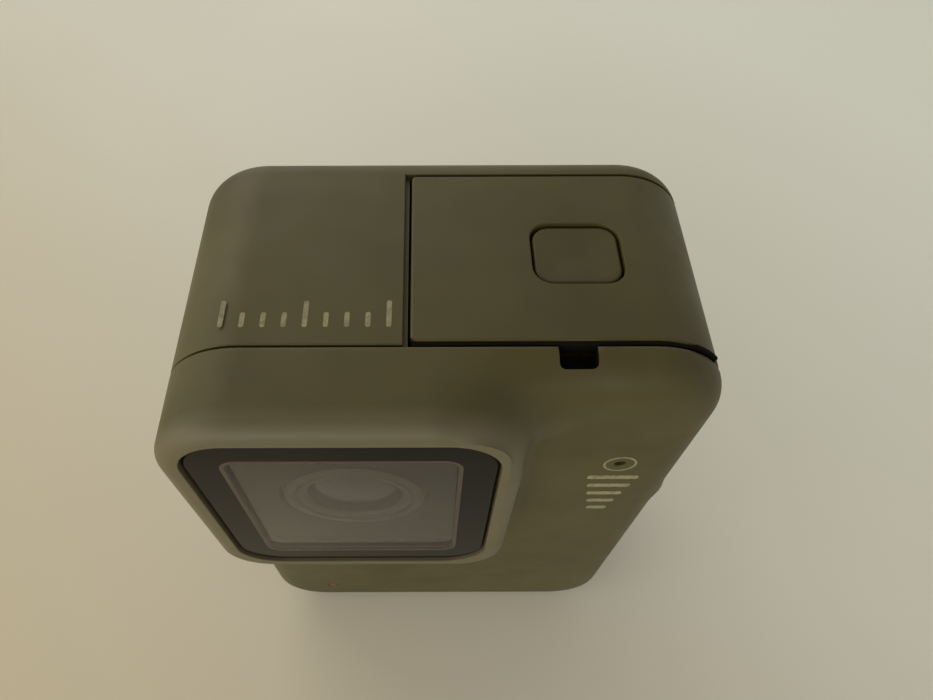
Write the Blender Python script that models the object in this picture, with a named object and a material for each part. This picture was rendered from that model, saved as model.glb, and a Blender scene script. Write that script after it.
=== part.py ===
"""Action camera standing on its side: X is its height, Y its depth and Z its width, with the lens facing -Y.

The face it rests on is z = 0, and the origin is at the middle of that face.
"""

import math

import bmesh
import bpy
from mathutils import Matrix, Vector

MM = 0.001

# The case
CASE_X = 44.9 * MM
CASE_Z = 62.3 * MM
CASE_DEPTH = 24.06 * MM  # front face to back face
LENS_PROUD = 4.24 * MM  # lens housing ahead of the front face
CORNER_R = 6.8 * MM
FRONT_ROUND = 3.0 * MM
BACK_ROUND = 2.5 * MM
FRONT_DEPTH = 3.2 * MM  # front face to the seam behind it
WALL = 1.6 * MM
REAR_WALL = 1.7 * MM
SEAM = 0.2 * MM
FIT = 0.3 * MM  # between pieces that sit in one another
SLIM = 0.15 * MM  # between thin pieces laid on one another

# The lens housing and its window
HOUSING_WIDE = 28.8 * MM  # from the case's -X side
HOUSING_TALL = 32.0 * MM  # down from the case's +Z side
HOUSING_R = 5.0 * MM
RING_ROUND = 2.2 * MM
FLARE_R = 2.0 * MM
RING_WIDE = 2.0 * MM
GLASS_R = 4.0 * MM
GLASS_T = 1.2 * MM
GLASS_SUNK = 0.3 * MM
WINDOW_MARGIN = 2.7 * MM  # glass edge to the clear window
SEAL_T = 0.6 * MM
LENS_X = 14.55 * MM  # from the case's -X side
LENS_Z = 15.8 * MM  # down from the case's +Z side
BARREL_R = 6.25 * MM
DOME_R = 4.95 * MM
HOLDER_HALF = 8.0 * MM
LENS_BACK = 12.6 * MM  # ring front to the back of the lens holder

# The side door
DOOR_SPAN = 25.17 * MM  # from the case's +X side
DOOR_DEPTH = 18.17 * MM  # seam to the door's rear edge
DOOR_SKIN = 1.3 * MM
DOOR_RIM = 1.0 * MM
RIM_LIFT = 1.5 * MM  # seat up to the foot of the door's rim
LINER_LIFT = 0.85 * MM
LINER_T = 0.5 * MM
LINER_INSET = 0.1 * MM
DOOR_SEAL_T = 0.45 * MM
DOOR_SEAL_WIDE = 1.2 * MM
DOOR_WELL = 4.6 * MM  # case surface down to the seat under the door
SEAT_WALL = 1.5 * MM
GROOVE = 0.55 * MM
LEDGE_SUNK = 0.5 * MM
GASKET_T = 0.3 * MM
GASKET_LIP = 0.3 * MM
HINGE_PAST = 0.7 * MM  # hinge axis below the end of the corner's round
KNUCKLE_R = 1.1 * MM
KNUCKLE_PLAY = 0.96  # arm's knuckle to the door's
ARM_FLAT = 0.2 * MM  # hinge axis down to the top of the arm's tongue
HINGE_SEAT_R = 1.9 * MM
PIN_R = 0.4 * MM
PIN_PLAY = 0.1 * MM
ARM_WIDE = 6.0 * MM
ARM_STOP = 0.6 * MM
STOP_REACH = 0.8 * MM  # stop past the arm's sides
PIN_LONG = 10.4 * MM
DOOR_TRAVEL = 1.2 * MM

# The latch in the door
LATCH_X = 11.6 * MM  # its middle, from the case's +X side
LATCH_Y = 9.06 * MM  # its middle, behind the seam
LATCH_WIDE = 7.1 * MM
LATCH_LONG = 6.0 * MM
LATCH_R = 1.5 * MM
LATCH_SUNK = 0.25 * MM
LATCH_TRAVEL = 0.5 * MM
FLANGE = 0.8 * MM
FLANGE_T = 0.5 * MM
FLANGE_PLAY = 0.2 * MM
LEAF_T = 0.15 * MM
LEAF_HALF = 1.0 * MM
NOTCH_X = 12.6 * MM  # finger notch's middle, from the case's +X side
NOTCH_WIDE = 3.0 * MM
NOTCH_LONG = 2.3 * MM
NOTCH_DEEP = 1.9 * MM

# Sockets under the door
USB_WIDE = 8.94 * MM
USB_THICK = 3.2 * MM
USB_LONG = 7.5 * MM
USB_WALL = 0.35 * MM
CARD_WIDE = 11.0 * MM
CARD_THICK = 1.0 * MM
CARD_LONG = 15.0 * MM
CARD_TRAVEL = 0.6 * MM
SLOT_THICK = 2.4 * MM
BOARD_T = 0.8 * MM
BOARD_MARGIN = 0.6 * MM  # port board past the sockets

# Buttons
SHUTTER_LONG = 12.0 * MM
SHUTTER_WIDE = 8.4 * MM
SHUTTER_TRAVEL = 0.6 * MM
MODE_LONG = 11.0 * MM
MODE_WIDE = 5.6 * MM
MODE_IN = 13.45 * MM  # its middle, from the case's -X side
MODE_TRAVEL = 0.5 * MM
BUTTON_SUNK = 0.2 * MM
BUTTON_EDGE = 0.25 * MM
STEM_R = 1.5 * MM
STEM_LONG = 1.2 * MM
SWITCH_HALF = 2.2 * MM
SWITCH_T = 0.8 * MM
DOME_T = 0.25 * MM

# The screen
SCREEN_MARGIN = 3.1 * MM  # case edge to the glass
SCREEN_R = 4.4 * MM
SCREEN_T = 0.9 * MM
LCD_MARGIN_X = 2.8 * MM
LCD_MARGIN_Z = 6.0 * MM
LCD_T = 1.2 * MM
BACKLIGHT_T = 0.8 * MM

# Inside
BATTERY_T = 8.2 * MM
BATTERY_Z = 5.2 * MM
SIDE_ROOM = 5.4 * MM  # case side to the battery and the main board
CHASSIS_T = 1.0 * MM
CHASSIS_RAIL = 3.4 * MM
BOSS_R = 1.3 * MM
BOSS_DROP = 4.0 * MM  # upper screw posts below the battery's top
SCREW_R = 0.7 * MM
SCREW_HEAD_R = 1.15 * MM
SCREW_HEAD_T = 0.6 * MM
SCREW_LONG = 4.0 * MM
MIC_X = 6.58 * MM  # from the case's +X side
MIC_DROP = 14.64 * MM  # below the case's +Z side
MIC_HOLE_R = 0.5 * MM
LIGHT_X = 7.91 * MM  # from the case's -X side
LIGHT_Z = 6.62 * MM
LIGHT_R = 0.55 * MM
ANTENNA_RISE = 5.0 * MM  # above the lens axis
ANTENNA_HALF = 4.0 * MM
SPEAKER_EDGE = 0.75 * MM  # speaker past its grille
GRILLE_LONG = 12.0 * MM
GRILLE_WIDE = 6.0 * MM

ARC = 6  # facets on a quarter of a large corner
SMALL_ARC = 3
ROUND = 24  # facets round a turned piece
FINE = 12  # facets round a screw or a pin

# Places that follow from the sizes above
LEFT = -CASE_X / 2
RIGHT = CASE_X / 2
TOP = CASE_Z
RING_Y = -(CASE_DEPTH + LENS_PROUD) / 2
FACE_Y = RING_Y + LENS_PROUD
SEAM_Y = FACE_Y + FRONT_DEPTH
BACK_Y = FACE_Y + CASE_DEPTH
LENS_CX = LEFT + LENS_X
LENS_CZ = TOP - LENS_Z
GLASS_FRONT = RING_Y + GLASS_SUNK
GLASS_BACK = GLASS_FRONT + GLASS_T
LEDGE_FRONT = GLASS_BACK + SEAL_T + 2 * SLIM
LEDGE_BACK = LEDGE_FRONT + 0.8 * MM
HOLDER_BACK = RING_Y + LENS_BACK
DOOR_LEFT = RIGHT - DOOR_SPAN
DOOR_FRONT = SEAM_Y + GASKET_T + SLIM
DOOR_BACK = SEAM_Y + DOOR_DEPTH - SEAM
WELL_BACK = SEAM_Y + DOOR_DEPTH
SEAT_Z = TOP - DOOR_WELL
SEAT_X = RIGHT - DOOR_WELL
HINGE_X = RIGHT - KNUCKLE_R
HINGE_Z = TOP - CORNER_R - HINGE_PAST
HINGE_Y = (DOOR_FRONT + DOOR_BACK) / 2
LATCH_CX = RIGHT - LATCH_X
LATCH_CY = SEAM_Y + LATCH_Y
ARM_END = SEAT_X - SEAT_WALL - DOOR_TRAVEL - ARM_STOP - FIT
PORT_BOARD_Y = HOLDER_BACK + SLOT_THICK + 1.9 * MM
PORT_TOP = SEAT_Z - SLIM
SLOT_WIDE = CARD_WIDE + 1.4 * MM
PORT_X = ARM_END - FIT - BOARD_MARGIN - SLOT_WIDE
SLOT_BOTTOM = PORT_TOP - CARD_LONG - 2 * CARD_TRAVEL
PORT_BOTTOM = SLOT_BOTTOM - 0.5 * MM
CARD_TOP = SEAT_Z + SLIM
BATTERY_BACK = FACE_Y + WALL + 1.3 * MM + BATTERY_T
BATTERY_TOP = LENS_CZ - HOLDER_HALF - 0.7 * MM
BOARD_Y = BATTERY_BACK + 1.0 * MM
BOARD_TOP = PORT_BOTTOM - 0.5 * MM
CHASSIS_Y = BOARD_Y + BOARD_T + 3.0 * MM
POST_IN = WALL + FIT + BOSS_R
POST_ALONG = (CORNER_R - POST_IN) / math.sqrt(2)
POST_LOW = CORNER_R - POST_ALONG
POST_HIGH = BATTERY_TOP - BOSS_DROP
SHUTTER_Y = CHASSIS_Y - FIT - FLANGE - SHUTTER_WIDE / 2
SHUTTER_Z = (POST_LOW + POST_HIGH) / 2
MODE_X = LEFT + MODE_IN
MIC_AT = (RIGHT - MIC_X, TOP - MIC_DROP)
LIGHT_AT = (LEFT + LIGHT_X, LIGHT_Z)
CHASSIS_TOP = PORT_BOTTOM - 0.4 * MM
SCREEN_FRONT = BACK_Y - SLIM / 2
LCD_BACK = SCREEN_FRONT - SCREEN_T - SLIM


def finish(name, colour, roughness, metallic=0.0):
    """A Principled material in linear colour."""
    found = bpy.data.materials.get(name)
    if found:
        return found
    made = bpy.data.materials.new(name)
    made.use_nodes = True
    shader = made.node_tree.nodes["Principled BSDF"]
    shader.inputs["Base Color"].default_value = (*colour, 1.0)
    shader.inputs["Roughness"].default_value = roughness
    shader.inputs["Metallic"].default_value = metallic
    return made


def case_paint():
    return finish("case_paint", (0.115, 0.102, 0.06), 0.55)


def black_plastic():
    return finish("black_plastic", (0.012, 0.012, 0.012), 0.5)


def black_rubber():
    return finish("black_rubber", (0.008, 0.008, 0.008), 0.75)


def clear_glass():
    return finish("clear_glass", (0.03, 0.03, 0.032), 0.06)


def steel():
    return finish("steel", (0.5, 0.5, 0.5), 0.35, 1.0)


def circuit_board():
    return finish("circuit_board", (0.01, 0.05, 0.02), 0.5)


def facing_front(u, v, w):
    """u along X, v up, w back from the lens side."""
    return Vector((u, w, v))


def facing_top(u, v, w):
    """u along X, v along Y, w up."""
    return Vector((u, v, w))


def facing_side(u, v, w):
    """u along Y, v up, w along X."""
    return Vector((w, u, v))


def outline(low, high, radius, steps=SMALL_ARC):
    """A rectangle with round corners; radius is one value, or one per corner anticlockwise from (+, +)."""
    radii = radius if isinstance(radius, tuple) else (radius,) * 4
    signs = ((1, 1), (-1, 1), (-1, -1), (1, -1))
    points = []
    for corner, (sign, r) in enumerate(zip(signs, radii)):
        centre_u = high[0] - r if sign[0] > 0 else low[0] + r
        centre_v = high[1] - r if sign[1] > 0 else low[1] + r
        for step in range(steps + 1):
            angle = math.radians(90 * (corner + step / steps))
            points.append((centre_u + r * math.cos(angle), centre_v + r * math.sin(angle)))
    return points


def circle(centre, radius, steps=ROUND):
    angles = [2 * math.pi * step / steps for step in range(steps)]
    return [(centre[0] + radius * math.cos(a), centre[1] + radius * math.sin(a)) for a in angles]


def add_rings(bm, rings, place, hollow=False):
    """Joins outlines with equal numbers of points, each at its own level, into one closed body."""
    rows = [[bm.verts.new(place(u, v, level)) for u, v in points] for points, level in rings]
    pairs = list(zip(rows, rows[1:]))
    if hollow:
        pairs.append((rows[-1], rows[0]))
    else:
        bm.faces.new(rows[0])
        bm.faces.new(rows[-1])
    for near, far in pairs:
        for i in range(len(near)):
            j = (i + 1) % len(near)
            bm.faces.new((near[i], near[j], far[j], far[i]))


def make_object(name, bm, material=None, origin=(0, 0, 0)):
    """Turns the mesh into an object whose origin is at the given point."""
    bmesh.ops.recalc_face_normals(bm, faces=bm.faces)
    bm.transform(Matrix.Translation(-Vector(origin)))
    mesh = bpy.data.meshes.new(name)
    bm.to_mesh(mesh)
    bm.free()
    mesh.shade_smooth()
    mesh.set_sharp_from_angle(angle=math.radians(30))
    made = bpy.data.objects.new(name, mesh)
    made.location = origin
    bpy.context.scene.collection.objects.link(made)
    if material:
        mesh.materials.append(material)
    return made


def body(name, rings, place, material, origin=(0, 0, 0), hollow=False):
    bm = bmesh.new()
    add_rings(bm, rings, place, hollow)
    return make_object(name, bm, material, origin)


def slab(name, low, high, radius, levels, place, material, origin=(0, 0, 0), steps=SMALL_ARC):
    """A plate with round corners between two levels."""
    shape = outline(low, high, radius, steps)
    return body(name, [(shape, levels[0]), (shape, levels[1])], place, material, origin)


def boolean(target, tool, operation="DIFFERENCE"):
    tool.hide_render = True
    tool.display_type = "WIRE"
    modifier = target.modifiers.new(tool.name, "BOOLEAN")
    modifier.object = tool
    modifier.operation = operation
    modifier.solver = "EXACT"


def cut(target, name, ring_sets, place):
    """Cuts one or more ring-built shapes out of the target."""
    bm = bmesh.new()
    for rings in ring_sets:
        add_rings(bm, rings, place)
    boolean(target, make_object("cut_" + name, bm))


def join(target, name, ring_sets, place):
    bm = bmesh.new()
    for rings in ring_sets:
        add_rings(bm, rings, place)
    boolean(target, make_object("add_" + name, bm), "UNION")


def prism(points, levels):
    return [(points, levels[0]), (points, levels[1])]


def grown(low, high, by):
    return (low[0] - by, low[1] - by), (high[0] + by, high[1] + by)


# Outlines shared by several pieces


def case_outline(inset):
    radius = max(CORNER_R - inset, 0.3 * MM)
    return outline((LEFT + inset, inset), (RIGHT - inset, TOP - inset), radius, ARC)


def housing_outline(inset, flare=0.0):
    """The lens housing: flush with the case's top and -X side, flaring on its other two sides."""
    low = (LEFT + inset, TOP - HOUSING_TALL + inset - flare)
    high = (LEFT + HOUSING_WIDE - inset + flare, TOP - inset)
    free = HOUSING_R - inset
    return outline(low, high, (free, CORNER_R - inset, free, free), ARC)


def glass_box():
    low = (LEFT + RING_WIDE + FIT, TOP - HOUSING_TALL + RING_WIDE + FIT)
    high = (LEFT + HOUSING_WIDE - RING_WIDE - FIT, TOP - RING_WIDE - FIT)
    return low, high


def window_outline(extra=0.0):
    low, high = grown(*glass_box(), extra - WINDOW_MARGIN)
    return outline(low, high, 1.5 * MM + max(extra, 0.0))


def screen_box():
    return (LEFT + SCREEN_MARGIN, SCREEN_MARGIN), (RIGHT - SCREEN_MARGIN, TOP - SCREEN_MARGIN)


def lcd_box():
    low, high = screen_box()
    return (low[0] + LCD_MARGIN_X, low[1] + LCD_MARGIN_Z), (high[0] - LCD_MARGIN_X, high[1] - LCD_MARGIN_Z)


def corner_path(inset, start_x, end_z, radius=None):
    """Along the top from start_x, round the upper +X corner and down the side to end_z."""
    r = radius or max(CORNER_R - inset, 0.3 * MM)
    centre = (RIGHT - inset - r, TOP - inset - r)
    points = [(start_x, TOP - inset)]
    for step in range(ARC + 1):
        angle = math.radians(90 * (1 - step / ARC))
        points.append((centre[0] + r * math.cos(angle), centre[1] + r * math.sin(angle)))
    points.append((RIGHT - inset, end_z))
    return points


def arc_points(centre, radius, start, end, steps):
    """Points on an arc between two angles in degrees."""
    angles = [math.radians(start + (end - start) * step / steps) for step in range(steps + 1)]
    return [(centre[0] + radius * math.cos(a), centre[1] + radius * math.sin(a)) for a in angles]


def well_outline():
    """The space that the door, its liner and its hinge take out of the case."""
    clear = 5 * MM
    points = corner_path(DOOR_WELL, DOOR_LEFT - SEAM, HINGE_Z)
    points.append((SEAT_X, HINGE_Z - HINGE_SEAT_R))
    points += arc_points((HINGE_X, HINGE_Z), HINGE_SEAT_R, 270, 325, SMALL_ARC)
    points += [(RIGHT + clear, HINGE_Z - HINGE_SEAT_R), (RIGHT + clear, TOP + clear)]
    points += [(DOOR_LEFT - GROOVE, TOP + clear), (DOOR_LEFT - GROOVE, TOP - LEDGE_SUNK)]
    points.append((DOOR_LEFT - SEAM, TOP - LEDGE_SUNK))
    return points


def well_wall_outline():
    """The well with its wall round it, which the case's hollow leaves solid."""
    clear = 5 * MM
    inset = DOOR_WELL + SEAT_WALL
    points = corner_path(inset, DOOR_LEFT - GROOVE - SEAT_WALL, HINGE_Z - HINGE_SEAT_R - SEAT_WALL)
    points += [(RIGHT + clear, HINGE_Z - HINGE_SEAT_R - SEAT_WALL), (RIGHT + clear, TOP + clear)]
    points.append((DOOR_LEFT - GROOVE - SEAT_WALL, TOP + clear))
    return points


def edge_rings(outline_of, face, radius, towards, steps=4):
    """Outlines round an edge: from the inset face to the full size, going towards +Y or -Y."""
    rings = []
    for step in range(steps + 1):
        angle = math.radians(90 * step / steps)
        level = face + towards * radius * (1 - math.cos(angle))
        rings.append((outline_of(radius * (1 - math.sin(angle))), level))
    return rings


# The case's two shells


def housing_rings():
    rings = edge_rings(housing_outline, RING_Y, RING_ROUND, 1)
    for step in range(5):
        angle = math.radians(90 * step / 4)
        flare = FLARE_R * (1 - math.cos(angle))
        rings.append((housing_outline(0, flare), FACE_Y - FLARE_R * (1 - math.sin(angle))))
    rings.append((housing_outline(0, FLARE_R), FACE_Y + FLARE_R / 4))
    return rings


def boss_places():
    """Screw posts: two in the lower corners, two by the battery's top with one in the lens housing."""
    low = [(side * (RIGHT - CORNER_R + POST_ALONG), POST_LOW) for side in (-1, 1)]
    return low + [(side * (RIGHT - POST_IN), POST_HIGH) for side in (-1, 1)]


def front_shell():
    outer = edge_rings(case_outline, FACE_Y, FRONT_ROUND, 1)
    outer.append((case_outline(0), SEAM_Y - SEAM / 2))
    shell = body("front_shell", outer, facing_front, case_paint())
    crown = prism(housing_outline(0), (FACE_Y - FLARE_R / 4, SEAM_Y - SEAM / 2))
    join(shell, "crown", [crown], facing_front)
    join(shell, "lens_housing", [housing_rings()], facing_front)
    hollow_front(shell)
    lens_opening(shell)
    front_bosses(shell)
    front_holes(shell)
    return shell


def hollow_front(shell):
    inner = edge_rings(lambda inset: case_outline(WALL + inset), FACE_Y + WALL, FRONT_ROUND - WALL, 1, 2)
    inner.append((case_outline(WALL), SEAM_Y + WALL))
    bm = bmesh.new()
    add_rings(bm, inner, facing_front)
    hollow = make_object("cut_front_hollow", bm)
    bm = bmesh.new()
    add_rings(bm, prism(well_wall_outline(), (FACE_Y, SEAM_Y + 2 * WALL)), facing_front)
    boolean(hollow, make_object("keep_front_door_wall", bm))
    boolean(shell, hollow)
    levels = (LEDGE_BACK, FACE_Y + WALL * 1.5)
    cut(shell, "housing_hollow", [prism(housing_outline(WALL), levels)], facing_front)


def lens_opening(shell):
    pocket = outline(*grown(*glass_box(), FIT), GLASS_R + FIT, ARC)
    cut(shell, "glass_pocket", [prism(pocket, (RING_Y - WALL, LEDGE_FRONT))], facing_front)
    levels = (LEDGE_FRONT - WALL, LEDGE_BACK + WALL)
    cut(shell, "window", [prism(window_outline(0.5 * MM), levels)], facing_front)


def front_bosses(shell):
    in_housing = LEDGE_BACK - SLIM
    roots = [FACE_Y + WALL / 2, FACE_Y + WALL / 2, in_housing, FACE_Y + WALL / 2]
    posts = [prism(circle(place, BOSS_R, FINE), (root, CHASSIS_Y - FIT))
             for place, root in zip(boss_places(), roots)]
    join(shell, "bosses", posts, facing_front)
    holes = [prism(circle(place, SCREW_R + PIN_PLAY, FINE), (CHASSIS_Y - SCREW_LONG, CHASSIS_Y + WALL))
             for place in boss_places()]
    cut(shell, "boss_holes", holes, facing_front)


def front_holes(shell):
    span = (FACE_Y - WALL, FACE_Y + 2 * WALL)
    mic = prism(circle(MIC_AT, MIC_HOLE_R, FINE), span)
    light = prism(circle(LIGHT_AT, LIGHT_R + PIN_PLAY, FINE), span)
    cut(shell, "front_holes", [mic, light], facing_front)
    centre = RIGHT - NOTCH_X
    half = NOTCH_WIDE / 2
    slant = 0.25 * MM
    front = SEAM_Y - NOTCH_LONG
    shoulder = front + 0.35 * MM
    notch = [(centre - half, SEAM_Y + WALL), (centre - half + slant, shoulder), (centre, front),
             (centre + half - slant, shoulder), (centre + half, SEAM_Y + WALL)]
    cut(shell, "notch", [prism(notch, (TOP - NOTCH_DEEP, TOP + WALL))], facing_top)


def main_shell():
    outer = edge_rings(case_outline, BACK_Y, BACK_ROUND, -1)
    outer.append((case_outline(0), SEAM_Y + SEAM / 2))
    shell = body("main_shell", outer, facing_front, case_paint())
    hollow_main(shell)
    cut(shell, "door_well", [prism(well_outline(), (SEAM_Y - WALL, WELL_BACK))], facing_front)
    port_holes(shell)
    screen_opening(shell)
    button_holes(shell)
    grille_hole(shell)
    hinge_slot(shell)
    return shell


def hollow_main(shell):
    bm = bmesh.new()
    add_rings(bm, prism(case_outline(WALL), (SEAM_Y - WALL, BACK_Y - REAR_WALL)), facing_front)
    hollow = make_object("cut_main_hollow", bm)
    bm = bmesh.new()
    add_rings(bm, prism(well_wall_outline(), (SEAM_Y - 2 * WALL, WELL_BACK + SEAT_WALL)), facing_front)
    boolean(hollow, make_object("keep_main_door_wall", bm))
    boolean(shell, hollow)


def port_holes(shell):
    span = (SEAT_Z - 2 * SEAT_WALL, SEAT_Z + SEAT_WALL)
    holes = []
    for low, high, radius in (usb_box(), slot_box()):
        holes.append(prism(outline(*grown(low, high, FIT), radius + FIT), span))
    cut(shell, "port_holes", holes, facing_top)


def screen_opening(shell):
    pocket = outline(*grown(*screen_box(), SLIM), SCREEN_R + SLIM, ARC)
    depth = SCREEN_T + 2 * SLIM
    cut(shell, "screen_pocket", [prism(pocket, (BACK_Y - depth, BACK_Y + WALL))], facing_front)
    window = outline(*grown(*lcd_box(), FIT), 0.6 * MM)
    cut(shell, "screen_window", [prism(window, (BACK_Y - 2 * REAR_WALL, BACK_Y))], facing_front)


def button_holes(shell):
    shutter = stadium((SHUTTER_Y, SHUTTER_Z), SHUTTER_WIDE, SHUTTER_LONG, FIT)
    cut(shell, "shutter_hole", [prism(shutter, (LEFT - WALL, LEFT + 2 * WALL))], facing_side)
    mode = stadium((MODE_X, SHUTTER_Y), MODE_LONG, MODE_WIDE, FIT)
    cut(shell, "mode_hole", [prism(mode, (-WALL, 2 * WALL))], facing_top)


def grille_hole(shell):
    hole = stadium((SHUTTER_Y, SHUTTER_Z), GRILLE_WIDE, GRILLE_LONG, SLIM)
    cut(shell, "grille_hole", [prism(hole, (RIGHT - 2 * WALL, RIGHT + WALL))], facing_side)


def hinge_slot(shell):
    play = 0.2 * MM
    low = (SEAT_X - 2 * SEAT_WALL, HINGE_Z - KNUCKLE_R - play)
    high = (SEAT_X + SEAT_WALL, HINGE_Z + play)
    span = (HINGE_Y - ARM_WIDE / 2 - play, HINGE_Y + ARM_WIDE / 2 + play)
    cut(shell, "hinge_slot", [prism(outline(low, high, play, 1), span)], facing_front)


def stadium(centre, wide, tall, extra=0.0, radius=None):
    """An outline with fully round ends, or with corners of the given radius."""
    half = (wide / 2 + extra, tall / 2 + extra)
    r = min(half) * 0.98 if radius is None else radius + extra
    low = (centre[0] - half[0], centre[1] - half[1])
    high = (centre[0] + half[0], centre[1] + half[1])
    return outline(low, high, r, SMALL_ARC + 1)


# The lens


def cover_glass():
    low, high = glass_box()
    edge = 0.2 * MM
    rings = [(outline(*grown(low, high, -edge), GLASS_R - edge, ARC), GLASS_FRONT),
             (outline(low, high, GLASS_R, ARC), GLASS_FRONT + edge),
             (outline(low, high, GLASS_R, ARC), GLASS_BACK)]
    return body("cover_glass", rings, facing_front, clear_glass())


def cover_seal():
    front = GLASS_BACK + SLIM
    outer = outline(*glass_box(), GLASS_R)
    inner = window_outline(0.9 * MM)
    rings = [(outer, front), (outer, front + SEAL_T), (inner, front + SEAL_T), (inner, front)]
    return body("cover_seal", rings, facing_front, black_rubber(), hollow=True)


def lens_mask():
    """The dark plate in the window's opening, with a round hole for the lens."""
    front = LEDGE_FRONT + SLIM
    rings = prism(window_outline(SLIM), (front, front + 0.6 * MM))
    plate = body("lens_mask", rings, facing_front, black_plastic())
    hole = circle((LENS_CX, LENS_CZ), BARREL_R + FIT)
    cut(plate, "mask_hole", [prism(hole, (front - WALL, front + WALL))], facing_front)
    return plate


def turned(name, profile, material, hollow=False, steps=ROUND):
    """A piece turned about the lens axis from (radius, distance behind the ring front) pairs."""
    rings = [(circle((LENS_CX, LENS_CZ), radius, steps), RING_Y + back) for radius, back in profile]
    return body(name, rings, facing_front, material, hollow=hollow)


def lens_barrel():
    outer = BARREL_R
    bore = DOME_R + FIT
    profile = [(outer, 2.3 * MM), (outer, 9.4 * MM), (3.2 * MM, 9.4 * MM), (3.2 * MM, 5.9 * MM),
               (bore, 5.9 * MM), (bore, 2.3 * MM)]
    return turned("lens_barrel", profile, black_plastic(), hollow=True)


def retaining_ring():
    front = 2.35 * MM
    back = front + 0.6 * MM
    inner = DOME_R - 0.6 * MM
    outer = DOME_R + FIT - PIN_PLAY
    return turned("lens_retaining_ring", [(outer, front), (outer, back), (inner, back), (inner, front)],
                  black_plastic(), hollow=True)


def lens_elements():
    """Three glass elements: a domed front one, a middle one and a rear one."""
    glass = finish("lens_glass", (0.02, 0.02, 0.03), 0.04)
    dome = DOME_R - 0.9 * MM
    sag = 1.1 * MM
    front = 2.55 * MM
    profile = [(dome * math.cos(math.radians(a)) + 0.02 * MM, front + sag * (1 - math.sin(math.radians(a))))
               for a in (88, 66, 44, 22, 0)]
    turned("front_element", profile + [(dome, 4.1 * MM)], glass)
    turned("middle_element", [(2.4 * MM, 6.0 * MM), (2.9 * MM, 6.3 * MM), (2.9 * MM, 7.4 * MM)], glass)
    turned("rear_element", [(2.8 * MM, 7.6 * MM), (2.8 * MM, 8.4 * MM), (2.2 * MM, 9.0 * MM)], glass)


def lens_holder():
    """The square mount behind the barrel, with two ears for its screws."""
    front = RING_Y + 9.6 * MM
    half = HOLDER_HALF
    holder = slab("lens_holder", (LENS_CX - half, LENS_CZ - half), (LENS_CX + half, LENS_CZ + half), 1.2 * MM,
                  (front, HOLDER_BACK), facing_front, black_plastic())
    wide = 5.2 * MM
    tall = 4.4 * MM
    well = outline((LENS_CX - wide, LENS_CZ - tall), (LENS_CX + wide, LENS_CZ + tall), 0.4 * MM)
    cut(holder, "sensor_well", [prism(well, (front + 1.0 * MM, HOLDER_BACK + WALL))], facing_front)
    light_way = circle((LENS_CX, LENS_CZ), 3.0 * MM)
    cut(holder, "light_way", [prism(light_way, (front - WALL, HOLDER_BACK))], facing_front)
    holes = [prism(circle(place, SCREW_R + PIN_PLAY, FINE), (front + 0.6 * MM, HOLDER_BACK + WALL))
             for place in lens_screw_places()]
    cut(holder, "holder_holes", holes, facing_front)
    return holder


def lens_screw_places():
    reach = HOLDER_HALF - 1.6 * MM
    return [(LENS_CX + side * reach, LENS_CZ - side * reach) for side in (-1, 1)]


def sensor_stack():
    front = RING_Y + 10.75 * MM
    centred_slab("ir_filter", (3.9 * MM, 3.4 * MM), (front, front + 0.3 * MM),
                 finish("filter_glass", (0.1, 0.3, 0.3), 0.05))
    centred_slab("image_sensor", (4.6 * MM, 3.9 * MM), (front + 0.5 * MM, front + 1.6 * MM),
                 finish("sensor_die", (0.05, 0.04, 0.06), 0.25))
    board_front = HOLDER_BACK + SLIM
    board = centred_slab("sensor_board", (HOLDER_HALF, HOLDER_HALF), (board_front, board_front + BOARD_T),
                         circuit_board())
    holes = [prism(circle(place, SCREW_R + PIN_PLAY, FINE), (board_front - WALL, board_front + WALL))
             for place in lens_screw_places()]
    cut(board, "sensor_board_holes", holes, facing_front)


def centred_slab(name, half, levels, material):
    low = (LENS_CX - half[0], LENS_CZ - half[1])
    high = (LENS_CX + half[0], LENS_CZ + half[1])
    return slab(name, low, high, 0.3 * MM, levels, facing_front, material, steps=1)


def sensor_flex():
    back = HOLDER_BACK + BOARD_T + 2 * SLIM
    low = (LENS_CX - 3 * MM, BATTERY_TOP - 1.5 * MM)
    high = (min(LENS_CX + 3 * MM, PORT_X - BOARD_MARGIN - FIT), LENS_CZ)
    level = max(back, BATTERY_BACK + SLIM) + SLIM
    return slab("sensor_flex", low, high, 0.5 * MM, (level, level + 0.15 * MM), facing_front,
                finish("flex_copper", (0.5, 0.22, 0.05), 0.4), steps=1)


# Sockets under the door


def usb_box():
    low_y = PORT_BOARD_Y + BOARD_T + SLIM
    low_x = PORT_X + (SLOT_WIDE - USB_WIDE) / 2
    return (low_x, low_y), (low_x + USB_WIDE, low_y + USB_THICK), USB_THICK / 2 * 0.98


def slot_box():
    high_y = PORT_BOARD_Y - SLIM
    return (PORT_X, high_y - SLOT_THICK), (PORT_X + SLOT_WIDE, high_y), 0.3 * MM


def usb_socket():
    low, high, radius = usb_box()
    outer = outline(low, high, radius)
    inner = outline(*grown(low, high, -USB_WALL), radius - USB_WALL)
    floor = PORT_TOP - USB_LONG
    rings = [(outer, PORT_TOP), (outer, floor), (inner, floor), (inner, PORT_TOP)]
    body("usb_socket", rings, facing_top, steel(), hollow=True)
    middle = ((low[0] + high[0]) / 2, (low[1] + high[1]) / 2)
    half = (3.3 * MM, 0.35 * MM)
    slab("usb_tongue", (middle[0] - half[0], middle[1] - half[1]), (middle[0] + half[0], middle[1] + half[1]),
         0.15 * MM, (floor, PORT_TOP - 0.6 * MM), facing_top, black_plastic(), steps=1)


def card_box():
    low, high, _ = slot_box()
    middle = ((low[0] + high[0]) / 2, (low[1] + high[1]) / 2)
    return ((middle[0] - CARD_WIDE / 2, middle[1] - CARD_THICK / 2),
            (middle[0] + CARD_WIDE / 2, middle[1] + CARD_THICK / 2))


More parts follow.
